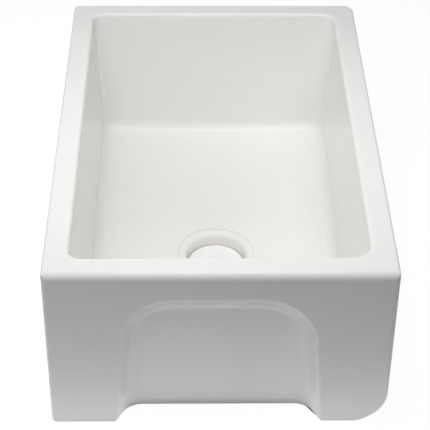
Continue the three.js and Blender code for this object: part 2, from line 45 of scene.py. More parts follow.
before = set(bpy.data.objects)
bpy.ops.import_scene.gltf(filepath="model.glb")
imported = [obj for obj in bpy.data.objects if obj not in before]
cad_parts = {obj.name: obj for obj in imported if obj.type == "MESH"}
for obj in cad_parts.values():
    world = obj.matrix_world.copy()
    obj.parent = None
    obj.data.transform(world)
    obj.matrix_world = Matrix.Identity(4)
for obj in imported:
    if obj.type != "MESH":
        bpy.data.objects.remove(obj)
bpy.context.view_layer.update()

MM = 0.001
CREASE = math.radians(35)  # edges that turn by more than this stay sharp


# ---------------------------------------------------------------- places taken from the frame

BODY_LOW, BODY_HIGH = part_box("sink_body")
STRAINER_LOW, STRAINER_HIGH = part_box("strainer_body")
DRAIN_X = (STRAINER_LOW.x + STRAINER_HIGH.x) / 2
DRAIN_Y = (STRAINER_LOW.y + STRAINER_HIGH.y) / 2
FLOOR_TOP = STRAINER_HIGH.z  # the flange lies level with the bowl's floor


def reach(node):
    """Outer radius of a node that is turned about the waste's axis."""
    low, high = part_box(node)
    return (high.x - low.x) / 2


def span(node):
    """Lowest and highest level of a node."""
    low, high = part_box(node)
    return low.z, high.z


# ---------------------------------------------------------------- sizes and looks a user can change


def length(name, description, millimetres):
    """A size in metres, given in millimetres."""
    return bpy.props.FloatProperty(
        name=name,
        description=description,
        default=millimetres * MM,
        min=0,
        precision=5,
        subtype="DISTANCE",
        unit="LENGTH",
    )


def angle(name, description, degrees):
    """An angle in radians, given in degrees."""
    return bpy.props.FloatProperty(
        name=name,
        description=description,
        default=math.radians(degrees),
        subtype="ANGLE",
        unit="ROTATION",
    )


def factor(name, description, value, high=1.0):
    """A plain number from nought up."""
    return bpy.props.FloatProperty(
        name=name, description=description, default=value, min=0, max=high, subtype="FACTOR"
    )


def linear(hex_colour):
    """sRGB hex as linear RGBA."""
    channels = [int(hex_colour[i : i + 2], 16) / 255 for i in (1, 3, 5)]
    curved = [c / 12.92 if c <= 0.04045 else ((c + 0.055) / 1.055) ** 2.4 for c in channels]
    return (*curved, 1.0)


def hue(name, description, hex_colour):
    """A colour, given as sRGB hex."""
    return bpy.props.FloatVectorProperty(
        name=name,
        description=description,
        default=linear(hex_colour),
        size=4,
        min=0,
        max=1,
        subtype="COLOR",
    )


class BlockSizes(bpy.types.PropertyGroup):
    """Outside of the fireclay body."""

    rim_front: length("Rim front", "Radius of the rim's outer edge over the apron", 11)
    rim_side: length("Rim sides", "Radius of that edge over the sides", 4)
    rim_back: length("Rim back", "Radius of that edge over the back", 6)
    apron_edge: length("Apron edge", "Radius of the apron's upright edges", 7)
    base_edge: length("Base edge", "Radius of the edge round the foot", 3)
    back_left: length("Back left corner", "Radius of that upright corner", 10)
    back_right: length("Back right corner", "Radius of that upright corner", 17)
    foot_corner: length("Foot corner", "Radius of the right foot's outer corner", 48)
    foot_run: length("Foot corner run", "How far back that corner keeps its radius", 60)
    foot_fade: length("Foot corner fade", "Over what length it then dies away", 50)
    pocket_depth: length("Pocket depth", "Recess inside the foot ring", 10)
    pocket_corner: length("Pocket corner", "Radius of that recess's corners", 26)
    pocket_edge: length("Pocket edge", "Radius of that recess's edge", 2.5)
    foot_width: length("Foot width", "Width of the foot ring", 26)


class BowlSizes(bpy.types.PropertyGroup):
    """Inside of the fireclay body."""

    side_wall: length("Side wall", "Wall thickness at the rim", 33.6)
    back_wall: length("Back wall", "Wall thickness at the rim", 32)
    front_wall: length("Front wall", "Wall thickness at the rim", 37.9)
    side_draft: length("Side draft", "How far the side walls lean in by the floor", 9)
    back_draft: length("Back draft", "How far the back wall leans in by the floor", 4.5)
    front_draft: length("Front draft", "How far the front wall leans in by the floor", 13)
    lip: length("Lip", "Radius between rim and wall", 5)
    front_left: length("Front left corner", "Radius of that upright corner", 16)
    front_right: length("Front right corner", "Radius of that upright corner", 28)
    back_right: length("Back right corner", "Radius of that upright corner", 22)
    back_left: length("Back left corner", "Radius of that upright corner", 17)
    fillet: length("Fillet", "Radius between wall and floor", 21)
    rise_side: length("Side rise", "Rise of the dished floor at the side walls", 4.5)
    rise_end: length("End rise", "Rise of the dished floor at the end walls", 2)
    dish_width: length("Drain dish", "Over what width the floor settles level with the drain", 36)


class ArchSizes(bpy.types.PropertyGroup):
    """Arched recess in the apron."""

    top_margin: length("Top margin", "Rim down to the top of the arch", 41.6)
    half_width: length("Half width", "Half the arch's width at the base", 140.5)
    taper: factor("Taper", "How much narrower per unit of height, each side", 0.088)
    left_radius: length("Left radius", "Top left corner", 70)
    right_radius: length("Right radius", "Top right corner", 78)
    shift: length("Shift", "How far the arch stands left of the middle", 1.2)
    depth: length("Depth", "Depth of the recess", 33)
    side_splay: angle("Side splay", "Side walls against the apron's face", 62)
    side_fillet: length("Side fillet", "Side walls to the back", 30)
    top_splay: angle("Top splay", "Ceiling against the apron's face", 40)
    top_fillet: length("Top fillet", "Ceiling to the back", 15)
    blend: factor("Blend", "How tightly the ceiling turns into the sides", 3, high=8)
    lip: length("Lip", "Half the width over which the recess's edge is rounded", 2.2)


class DrainSizes(bpy.types.PropertyGroup):
    """Hole in the floor and the strainer in it."""

    hole: length("Hole", "Radius of the hole through the fireclay", 47)
    seat_width: length("Seat width", "Rebate that takes the flange", 10.6)
    seat_depth: length("Seat depth", "Depth of the rebate", 3.8)
    sheet: length("Sheet", "Wall of the strainer", 1.4)
    cup_gap: length("Cup gap", "Cup to the fireclay", 0.8)
    flange_gap: length("Flange gap", "Flange to the glaze round it", 0.06)
    lip: length("Lip", "Rolled edge between flange and cup", 8)
    cup_depth: length("Cup depth", "Flange down to the cup's rounded foot", 50)
    foot_drop: length("Foot drop", "Height of that foot", 7)
    foot_ledge: length("Foot ledge", "How far it comes in", 5.8)
    cone_drop: length("Cone drop", "Fall of the seat that the stopper closes on", 4)
    outlet: length("Outlet", "Radius of the outlet's bore", 19.3)
    outlet_wall: length("Outlet wall", "Its wall", 3.7)
    hub: length("Hub", "Radius of the post's guide", 5.6)
    hub_drop: length("Hub drop", "Outlet's mouth down to the guide", 6)
    hub_height: length("Hub height", "Height of the guide", 4)
    spoke: length("Spoke", "Width of the guide's spokes", 2.4)
    thread_pitch: length("Thread pitch", "Of the threads on cup and outlet", 2.3)
    thread_depth: length("Thread depth", "Of those threads", 0.45)
    gap: length("Gap", "Between pieces that seat on or turn in each other", 0.3)
    edge: length("Edge", "Rounding of small edges", 0.35)


class WasteSizes(bpy.types.PropertyGroup):
    """Pieces under the floor, and the basket."""

    lug_reach: length("Lug reach", "How far the lock nut's lugs stand out", 6)
    lug_width: length("Lug width", "Width of a lug", 12)
    lug_flank: length("Lug flank", "Over what width a lug rises", 1.6)
    tailpiece: length("Tailpiece", "Radius of the tube", 19.05)
    tailpiece_wall: length("Tailpiece wall", "Wall of the tube", 1.25)
    tailpiece_flange: length("Tailpiece flange", "Thickness of its flanged top", 2)
    coupling_lip: length("Coupling lip", "Height of the coupling nut's inner lip", 3.5)
    coupling_rib: length("Coupling rib", "How far its ribs stand out", 1.37)
    rib_width: length("Rib width", "Width of a rib", 3)
    clip_wire: length("Clip wire", "Radius of the spring clip's wire", 0.8)
    clip_opening: angle("Clip opening", "Gap in the spring clip", 70)
    sheet: length("Basket sheet", "Wall of the basket", 1.2)
    basket_floor: length("Basket floor", "Radius of its flat floor", 30)
    basket_corner: length("Basket corner", "Floor to wall", 5)
    basket_rim: length("Basket rim", "Width of its rim", 6)
    basket_hole: length("Basket hole", "Radius of its holes", 1.6)
    cover: length("Cover", "Thickness of the cover over the basket", 3)
    cover_edge: length("Cover edge", "Rounding of the cover's top edge", 0.6)
    sleeve: length("Sleeve", "Wall of the sleeve that stands the cover on the basket", 2.6)
    ring_width: length("Ring width", "Width of the soft ring round the cover", 1.4)
    ring_height: length("Ring height", "Depth of the rebate for that ring", 2.2)
    knob_neck: length("Knob neck", "Radius of the pull's neck", 6.1)
    knob_neck_height: length("Knob neck height", "Height of that neck", 1.7)
    knob_edge: length("Knob edge", "Rounding of the pull's edge", 1.2)
    knob_dish: length("Knob dish", "How deep the pull's top is dished", 0.5)
    groove: length("Stopper groove", "Depth of the grooves round the stopper", 0.4)


class FinishLooks(bpy.types.PropertyGroup):
    """Colours and gloss."""

    glaze: hue("Glaze", "Fireclay glaze", "#f3f3f1")
    glaze_roughness: factor("Glaze roughness", "Fireclay glaze", 0.05)
    bisque: hue("Bisque", "Bare fired clay under the foot", "#d8c9ae")
    enamel: hue("Enamel", "Enamelled strainer", "#f3f3f1")
    cover: hue("Cover", "Enamelled cover and pull", "#fbfbfa")
    silicone: hue("Silicone", "Soft rings that show in the drain", "#ddd0bd")
    rubber: hue("Rubber", "Gasket and stopper", "#3a3a38")
    fibre: hue("Fibre", "Friction ring", "#a98d63")
    casting: hue("Casting", "Lock nut", "#b7b5b0")
    steel: hue("Steel", "Basket, post and bare strainer", "#c9c8c4")
    chrome: hue("Chrome", "Coupling nut and tailpiece", "#dadbdc")
    polythene: hue("Polythene", "Tailpiece washer", "#e6e5e0")


class StageLooks(bpy.types.PropertyGroup):
    """Camera, floor and lamps."""

    lens: bpy.props.FloatProperty(
        name="Lens", description="Focal length", default=119.11, subtype="DISTANCE_CAMERA"
    )
    floor_radius: length("Floor radius", "How far the floor reaches", 5000)
    floor_hole: length("Floor hole", "Radius of the hole that the waste hangs through", 80)
    floor_drop: length("Floor drop", "Floor below the foot", 0.2)
    floor_white: factor("Floor white", "How bright the floor shows by itself", 0.91)
    floor_bounce: factor("Floor bounce", "Share of the light that the floor throws back", 0.8)
    floor_shadow: factor("Floor shadow", "How much the lamps and shadows show on it", 0.2)
    ambient: factor("Ambient", "Light from all round", 0.01)


PROPERTY_GROUPS = {
    "sink_block": BlockSizes,
    "sink_bowl": BowlSizes,
    "sink_arch": ArchSizes,
    "sink_drain": DrainSizes,
    "sink_waste": WasteSizes,
    "sink_finish": FinishLooks,
    "sink_stage": StageLooks,
}


# ---------------------------------------------------------------- skins


class Skin:
    """Points and faces of one piece, gathered ring by ring; finish is the number of its material."""

    def __init__(self):
        self.points = []
        self.faces = []
        self.finishes = []

    def ring(self, points):
        """Adds points and gives their numbers."""
        start = len(self.points)
        self.points.extend(tuple(map(float, p)) for p in points)
        return list(range(start, len(self.points)))

    def add(self, face, finish=0):
        """Adds one face."""
        self.faces.append(face)
        self.finishes.append(finish)

    def bridge(self, one, other, finish=0):
        """Faces between two closed rings; a ring of one point closes the other by a fan."""
        count = max(len(one), len(other))
        for i in range(count):
            j = (i + 1) % count
            if len(one) == 1:
                self.add((one[0], other[j], other[i]), finish)
            elif len(other) == 1:
                self.add((one[i], one[j], other[0]), finish)
            else:
                self.add((one[i], one[j], other[j], other[i]), finish)

    def stack(self, rings, finish=0):
        """Rings of points joined in order; gives the first and the last ring's numbers."""
        placed_rings = [self.ring(points) for points in rings]
        for one, other in zip(placed_rings, placed_rings[1:]):
            self.bridge(one, other, finish)
        return placed_rings[0], placed_rings[-1]

    def zipper(self, one, other, one_at, other_at, finish=0):
        """Triangles between two closed rings with unlike counts, matched by their running values."""
        one_next = [*one_at[1:], one_at[-1] + (one_at[-1] - one_at[0]) / (len(one) - 1)]
        other_next = [*other_at[1:], other_at[-1] + (other_at[-1] - other_at[0]) / (len(other) - 1)]
        i = j = 0
        while i < len(one) or j < len(other):
            a, b = one[i % len(one)], other[j % len(other)]
            if j == len(other) or (i < len(one) and one_next[i] <= other_next[j]):
                i += 1
                self.add((a, one[i % len(one)], b), finish)
            else:
                j += 1
                self.add((a, other[j % len(other)], b), finish)

    def piece(self, name, materials):
        """The mesh object, with its faces pointing out."""
        mesh = bpy.data.meshes.new(name)
        mesh.from_pydata(self.points, [], self.faces)
        for material in materials:
            mesh.materials.append(material)
        mesh.polygons.foreach_set("material_index", self.finishes)
        tidy = bmesh.new()
        tidy.from_mesh(mesh)
        bmesh.ops.remove_doubles(tidy, verts=tidy.verts, dist=1e-7)
        bmesh.ops.recalc_face_normals(tidy, faces=tidy.faces)
        tidy.to_mesh(mesh)
        tidy.free()
        mesh.shade_smooth()
        mesh.set_sharp_from_angle(angle=CREASE)
        obj = bpy.data.objects.new(name, mesh)
        bpy.context.scene.collection.objects.link(obj)
        return obj


def arc(radius, centre, start, end, steps=8):
    """Points of a round stretch in a profile, between two angles in degrees."""
    turn = np.radians(np.linspace(start, end, steps + 1))
    return [(centre[0] + radius * math.cos(a), centre[1] + radius * math.sin(a)) for a in turn]


def rows(radius, low, high, pitch):
    """Points up a straight stretch of a profile, close enough together to carry a thread."""
    return [(radius, level) for level in np.linspace(low, high, math.ceil(abs(high - low) / pitch) + 1)]


def softened(profile, radius, steps=3):
    """A closed profile with its corners rounded; corners on the axis and almost straight ones stay."""
    almost_straight = math.radians(80)  # half the angle between the sides
    most = 0.45  # share of a side that one corner may take
    points = [np.array(p) for p in profile]
    soft = []
    for k, here in enumerate(points):
        before, after = points[k - 1] - here, points[(k + 1) % len(points)] - here
        back, on = np.linalg.norm(before), np.linalg.norm(after)
        half = math.acos(np.clip(before @ after / (back * on), -1, 1)) / 2
        if half > almost_straight or here[0] < 1e-6:
            soft.append(tuple(here))
            continue
        cut = min(radius / math.tan(half), most * back, most * on)
        for share in np.linspace(0, 1, steps + 1):
            shift = before / back * cut * (1 - share) ** 2 + after / on * cut * share**2
            soft.append(tuple(here + shift))
    return soft


def turned(skin, profile, sides, finish=0, shape=None, closed=True, centre=(DRAIN_X, DRAIN_Y)):
    """A turned skin, about the waste's axis unless told otherwise; shape gives a ring's radii."""
    turn = np.arange(sides) * 2 * math.pi / sides
    rings = []
    for radius, level in profile:
        if radius < 1e-6:
            rings.append(skin.ring([(*centre, level)]))
            continue
        radii = np.full(sides, radius) if shape is None else shape(turn, radius, level)
        x, y = centre[0] + radii * np.cos(turn), centre[1] + radii * np.sin(turn)
        rings.append(skin.ring(zip(x, y, np.full(sides, level))))
    for one, other in zip(rings, rings[1:]):
        skin.bridge(one, other, finish)
    if closed and len(rings[0]) > 1:
        skin.bridge(rings[-1], rings[0], finish)


def turned_piece(name, profile, material, sides=128):
    """A piece of one material, turned about the waste's axis."""
    skin = Skin()
    turned(skin, profile, sides)
    return skin.piece(name, [material])


def washer(inner, outer, low, high):
    """Profile of a flat ring."""
    return [(inner, low), (outer, low), (outer, high), (inner, high)]


def thread(turn, level, low, high, pitch, depth):
    """How deep a screw thread is cut at a level, round the piece; it fades out at both ends."""
    phase = (level / pitch - turn / (2 * math.pi)) % 1
    fade = min(max(min(level - low, high - level) / pitch, 0), 1)
    return depth * fade * np.abs(2 * phase - 1)


def bumps(turn, radius, count, width, flank, height):
    """Lugs or ribs that stand out round a piece."""
    part = ((turn * count / (2 * math.pi) + 0.5) % 1 - 0.5) * 2 * math.pi / count * radius
    share = np.clip((width / 2 - np.abs(part)) / flank + 0.5, 0, 1)
    return height * share * share * (3 - 2 * share)


def settled(piece, body, slot, *nodes):
    """Puts a piece on its body, in the place of its CAD nodes."""
    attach(piece, body)
    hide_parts(*nodes)


# ---------------------------------------------------------------- fireclay body

CORNER_SHARE = 0.06  # part of a side's running value that a corner takes, each way
FIRST_BEARING = -0.75 * math.pi  # rings round the drain start toward the front left corner
LEAST_RADIUS = 3 * MM  # what an upright outer corner keeps where the rim's edge cuts into it
FLAT_STEP = 0.8 * MM  # the rim's flat has a ring so far inside each of its rounded edges

# Points between the corners of a ring, anticlockwise from the front side
APRON_COLUMNS = (210, 32)  # on the front side: up to the foot's rounded corner, and over it
BLOCK_SIDES = (92, 40, 92)  # on the other sides of the block
BOWL_SIDES = (40, 60, 40, 60)
POCKET_SIDES = (36, 48, 36, 48)

# Heights of rings, as shares of the wall's straight stretch
WALL_SHARES = (0.006, 0.02, 0.06, 0.15, 0.3, 0.5, 0.7, 0.85, 0.94, 0.98, 0.994)


def outline(low, high, radii, sides, corner_steps):
    """A rectangle with rounded corners, anticlockwise from front left, and its running values.

    sides holds, for each side, where the points between its corners lie, from 0 to 1."""
    corners = (
        (low[0], low[1], 1, 1),
        (high[0], low[1], -1, 1),
        (high[0], high[1], -1, -1),
        (low[0], high[1], 1, -1),
    )
    arcs = []
    for k, (x, y, in_x, in_y) in enumerate(corners):
        turn = math.pi + (k + np.linspace(0, 1, corner_steps + 1)) * math.pi / 2
        middle = np.array((x + in_x * radii[k], y + in_y * radii[k]))
        arcs.append(middle + radii[k] * np.stack([np.cos(turn), np.sin(turn)], axis=1))
    points, at = [], []
    for k in range(4):
        start, end = arcs[k][-1], arcs[(k + 1) % 4][0]
        shares = np.asarray(sides[k])
        points += [arcs[k], start + (end - start) * shares[:, None]]
        at.append(k + np.linspace(-CORNER_SHARE, CORNER_SHARE, corner_steps + 1))
        at.append(k + CORNER_SHARE + (1 - 2 * CORNER_SHARE) * shares)
    return np.concatenate(points), np.concatenate(at)


def even(count):
    """Evenly spread points inside a side."""
    return (np.arange(count) + 1) / (count + 1)


def at_level(plan, level):
    """Points of a plan at one level, or each at its own."""
    return np.column_stack([plan, np.broadcast_to(level, len(plan))])


def edge_inset(radius, above):
    """How far a rounded lower edge lies in from the face, at a height above the base."""
    left = np.clip(radius - above, 0, radius)
    return radius - np.sqrt(radius**2 - left**2)


def rim_inset(radius, level):
    """How far the rim's rounded outer edge lies in from the face."""
    above = max(level - (BODY_HIGH.z - radius), 0)
    return radius - math.sqrt(radius**2 - above**2)


def foot_radius(y, block):
    """Radius of the body's lower right edge, which is large at the front and dies away."""
    run = (y - BODY_LOW.y - block.foot_run) / block.foot_fade
    share = (1 + np.cos(math.pi * np.clip(run, 0, 1))) / 2
    return block.base_edge + (block.foot_corner - block.base_edge) * share


def splayed(distance, splay, fillet, full):
    """Depth of a wall that leaves a face at the splay angle and turns into the bottom by a fillet."""
    turn_depth = min(fillet * (1 - math.cos(splay)), full)
    straight = (full - turn_depth) / math.tan(splay)
    from_flat = np.clip(straight + fillet * math.sin(splay) - distance, 0, fillet)
    curved = full - fillet + np.sqrt(fillet**2 - from_flat**2)
    return np.where(distance <= straight, distance * math.tan(splay), curved)


def recess(x, z, arch):
    """Depth of the arched recess behind points of the apron's face."""
    x = x + arch.shift
    top = BODY_HIGH.z - arch.top_margin
    radius = np.where(x < 0, arch.left_radius, arch.right_radius)
    height = top - radius
    reach_out = arch.half_width - arch.taper * height - radius
    across, above = np.abs(x), z - height
    beyond = across - reach_out
    bow = np.sqrt(np.clip(radius**2 - above**2, 0, None))
    edge = np.where(above > 0, reach_out + bow, arch.half_width - arch.taper * z)
    drop = np.sqrt(np.clip(radius**2 - beyond**2, 0, None))
    beside = (arch.half_width - across) / arch.taper
    ceiling = np.where(beyond > radius, beside, np.where(beyond > 0, height + drop, top))
    least, full = 1e-7, arch.depth
    side = splayed(np.maximum(edge - across, least), arch.side_splay, arch.side_fillet, full) / full
    over = splayed(np.maximum(ceiling - z, least), arch.top_splay, arch.top_fillet, full) / full
    return full * (side**-arch.blend + over**-arch.blend - 1) ** (-1 / arch.blend)


def rounded_recess(x, z, arch):
    """The recess with its edge rounded, as the mean over a small round patch."""
    spots = [(i / 3, k / 3) for i in range(-3, 4) for k in range(-3, 4) if i * i + k * k <= 10]
    z = np.maximum(z, 0)
    depths = [recess(x + i * arch.lip, z + k * arch.lip, arch) for i, k in spots]
    return np.mean(depths, axis=0)


def apron_levels(block):
    """Heights of the rings round the outside, close together at the rounded edges."""
    pitch = 1.8 * MM
    low = np.array([0, 0.12, 0.35, 0.7, 1.15, 1.7, 2.3, 3, 4.1, 5.5]) * MM
    edge = BODY_HIGH.z - block.rim_front
    middle = np.arange(low[-1] + pitch, edge - pitch / 2, pitch)
    top = edge + block.rim_front * np.sin(np.linspace(0, math.pi / 2, 16))
    return [*low, *middle, *top]


def outside_rings(block, arch):
    """Rings from the foot to the flat of the rim, and the running value of their points."""
    columns_end = 160 * MM  # right of here the columns give way to the foot's rounded corner
    edges = (block.apron_edge, block.apron_edge, block.back_right, block.back_left)
    rim_radii = (block.rim_front, block.rim_side, block.rim_back)
    rings = []
    for level in apron_levels(block):
        front, side, back = (rim_inset(radius, level) for radius in rim_radii)
        base = float(edge_inset(block.base_edge, level))
        low = (BODY_LOW.x + side + base, BODY_LOW.y + front + base)
        high = (BODY_HIGH.x - side - base, BODY_HIGH.y - back - base)
        front_right = BODY_HIGH.x - side - float(edge_inset(foot_radius(BODY_LOW.y, block), level))
        insets = (front, front, back, back)
        radii = [max(radius - inset, LEAST_RADIUS) for radius, inset in zip(edges, insets)]
        start, end = low[0] + radii[0], front_right - radii[1]
        over_apron = np.linspace(start, columns_end, APRON_COLUMNS[0] + 2)[1:]
        over_corner = np.linspace(columns_end, end, APRON_COLUMNS[1] + 2)[1:-1]
        columns = np.concatenate([over_apron, over_corner])
        sides = [(columns - start) / (end - start), *map(even, BLOCK_SIDES)]
        plan, at = outline(low, high, radii, sides, 10)
        face = (at > CORNER_SHARE) & (at < 1 - CORNER_SHARE)
        plan[face, 0] = columns
        plan[face, 1] += rounded_recess(columns, np.full(len(columns), level), arch)
        corner = (at >= 1 - CORNER_SHARE) & (at <= 1 + CORNER_SHARE)
        plan[corner, 0] += front_right - high[0]
        flank = (at > 1 + CORNER_SHARE) & (at < 2 - CORNER_SHARE)
        foot = edge_inset(foot_radius(plan[flank, 1], block), level)
        plan[flank, 0] = np.minimum(plan[flank, 0], BODY_HIGH.x - side - foot)
        rings.append(at_level(plan, level))
    return rings, at


def bowl_plan(fall, inset, bowl):
    """Plan of the bowl a way below the rim, drawn in by an inset."""
    share = fall / (BODY_HIGH.z - FLOOR_TOP)
    side = bowl.side_wall + bowl.side_draft * share + inset
    front = bowl.front_wall + bowl.front_draft * share + inset
    back = bowl.back_wall + bowl.back_draft * share + inset
    low = (BODY_LOW.x + side, BODY_LOW.y + front)
    high = (BODY_HIGH.x - side, BODY_HIGH.y - back)
    corners = (bowl.front_left, bowl.front_right, bowl.back_right, bowl.back_left)
    radii = [max(r - inset, 1 * MM) for r in corners]
    return outline(low, high, radii, [*map(even, BOWL_SIDES)], 12)


def floor_level(x, y, bowl, drain):
    """Height of the dished floor, which settles level with the flange at the drain."""
    side = x / (BODY_HIGH.x - bowl.side_wall)
    to_back = BODY_HIGH.y - bowl.back_wall - DRAIN_Y
    to_front = DRAIN_Y - BODY_LOW.y - bowl.front_wall
    end = (y - DRAIN_Y) / np.where(y > DRAIN_Y, to_back, to_front)
    rise = bowl.rise_side * side**2 + bowl.rise_end * end**2
    away = np.hypot(x - DRAIN_X, y - DRAIN_Y) - drain.hole - drain.seat_width
    share = np.clip(away / bowl.dish_width, 0, 1)
    return FLOOR_TOP + rise * share * share * (3 - 2 * share)


def bowl_rings(bowl, drain):
    """Rings from the flat of the rim down the wall and over the floor to the flange's rebate."""
    full = BODY_HIGH.z - FLOOR_TOP
    lip_foot = BODY_HIGH.z - bowl.lip
    plan, at = bowl_plan(0, -bowl.lip - FLAT_STEP, bowl)
    rings = [at_level(plan, BODY_HIGH.z)]
    for turn in np.linspace(0, math.pi / 2, 11):
        plan, _ = bowl_plan(0, -bowl.lip * (1 - math.sin(turn)), bowl)
        rings.append(at_level(plan, BODY_HIGH.z - bowl.lip * (1 - math.cos(turn))))
    plan, _ = bowl_plan(full, 0, bowl)
    wall_foot = floor_level(plan[:, 0], plan[:, 1], bowl, drain) + bowl.fillet
    for share in WALL_SHARES:
        fall = bowl.lip + share * (full - bowl.fillet - bowl.lip)
        plan, _ = bowl_plan(fall, 0, bowl)
        rings.append(at_level(plan, lip_foot + (wall_foot - lip_foot) * share))
    for turn in np.linspace(0, math.pi / 2, 15):
        fall = full - bowl.fillet * (1 - math.sin(turn))
        plan, _ = bowl_plan(fall, bowl.fillet * (1 - math.cos(turn)), bowl)
        rings.append(at_level(plan, wall_foot - bowl.fillet * math.sin(turn)))
    edge = rings[-1]
    bearing = np.arctan2(edge[:, 1] - DRAIN_Y, edge[:, 0] - DRAIN_X)
    glaze_edge = 0.6 * MM  # width of the glaze's edge round the rebate
    near = drain.hole + drain.seat_width + glaze_edge
    circle = np.column_stack([DRAIN_X + near * np.cos(bearing), DRAIN_Y + near * np.sin(bearing)])
    settling = 0.03  # share of the way in over which the rings come down to the dished floor
    for share in np.sin(np.linspace(0.02, math.pi / 2, 22)) ** 1.4:
        plan = edge[:, :2] + (circle - edge[:, :2]) * share
        level = floor_level(plan[:, 0], plan[:, 1], bowl, drain)
        rings.append(at_level(plan, edge[:, 2] + (level - edge[:, 2]) * min(share / settling, 1)))
    return rings, at


def drain_profile(block, drain):
    """Radius and level from the floor down through the rebate and the hole to the pocket."""
    seat = FLOOR_TOP - drain.seat_depth
    roll = min(drain.lip - drain.sheet - drain.gap, drain.seat_width / 2)
    edge = 1 * MM
    return [
        (drain.hole + drain.seat_width, FLOOR_TOP),
        (drain.hole + drain.seat_width, seat),
        *arc(roll, (drain.hole + roll, seat - roll), 90, 180),
        (drain.hole, block.pocket_depth + edge),
        (drain.hole + edge, block.pocket_depth),
    ]


def pocket_rings(block, arch):
    """Rings from the flat of the foot up the edge of the recess inside it."""
    edge, depth = block.pocket_edge, block.pocket_depth
    low = (BODY_LOW.x + block.foot_width, BODY_LOW.y + arch.depth + block.foot_width)
    high = (BODY_HIGH.x - block.foot_width, BODY_HIGH.y - block.foot_width)
    profile = [*arc(edge, (edge, edge), 270, 180, 4), *arc(edge, (-edge, depth - edge), 0, 90, 4)]
    rings = []
    for grow, level in profile:
        grown = (low[0] - grow, low[1] - grow), (high[0] + grow, high[1] + grow)
        radii = [block.pocket_corner + grow] * 4
        plan, at = outline(*grown, radii, [*map(even, POCKET_SIDES)], 8)
        rings.append(at_level(plan, level))
    return rings, at


def join_to_circle(skin, ring, plan, circle, finish):
    """Zips a ring round the drain to a circle round it."""
    bearing = np.unwrap(np.arctan2(plan[:, 1] - DRAIN_Y, plan[:, 0] - DRAIN_X))
    count = len(circle)
    first = round((bearing[0] - FIRST_BEARING) / (2 * math.pi) * count) % count
    around = np.arange(count) * 2 * math.pi / count
    skin.zipper(ring, circle[first:] + circle[:first], bearing - bearing[0], around, finish)


def body_skin(block, bowl, arch, drain):
    """The whole fireclay body as one closed skin: finish 0 is glazed, finish 1 is bare."""
    skin = Skin()
    rings, outer_at = outside_rings(block, arch)
    foot, rim = skin.stack(rings)
    flat = rings[-1].copy()
    flat[:, :2] -= np.sign(flat[:, :2]) * FLAT_STEP
    flat_ring = skin.ring(flat)
    skin.bridge(rim, flat_ring)

    rings, inner_at = bowl_rings(bowl, drain)
    inner, floor_end = skin.stack(rings)
    skin.zipper(flat_ring, inner, outer_at, inner_at)

    turn = np.arange(128) * 2 * math.pi / 128 + FIRST_BEARING
    circle = np.stack([np.cos(turn), np.sin(turn)], axis=1)
    profile = drain_profile(block, drain)
    hole = [at_level((DRAIN_X, DRAIN_Y) + radius * circle, level) for radius, level in profile]
    hole_top, hole_bottom = skin.stack(hole, finish=1)
    join_to_circle(skin, floor_end, rings[-1], hole_top, finish=0)

    rings, pocket_at = pocket_rings(block, arch)
    pocket_low, pocket_high = skin.stack(rings, finish=1)
    skin.zipper(foot, pocket_low, outer_at, pocket_at, finish=1)
    join_to_circle(skin, pocket_high, rings[-1], hole_bottom, finish=1)
    return skin


# ---------------------------------------------------------------- waste: fixed pieces

SPOKES = 4  # between the post's guide and the outlet
LUGS = 6  # round the lock nut
RIBS = 12  # round the coupling nut
THREAD_START = 1 * MM  # plain stretch at each end of a thread
THREAD_STEPS = 8  # rings in one turn of a thread


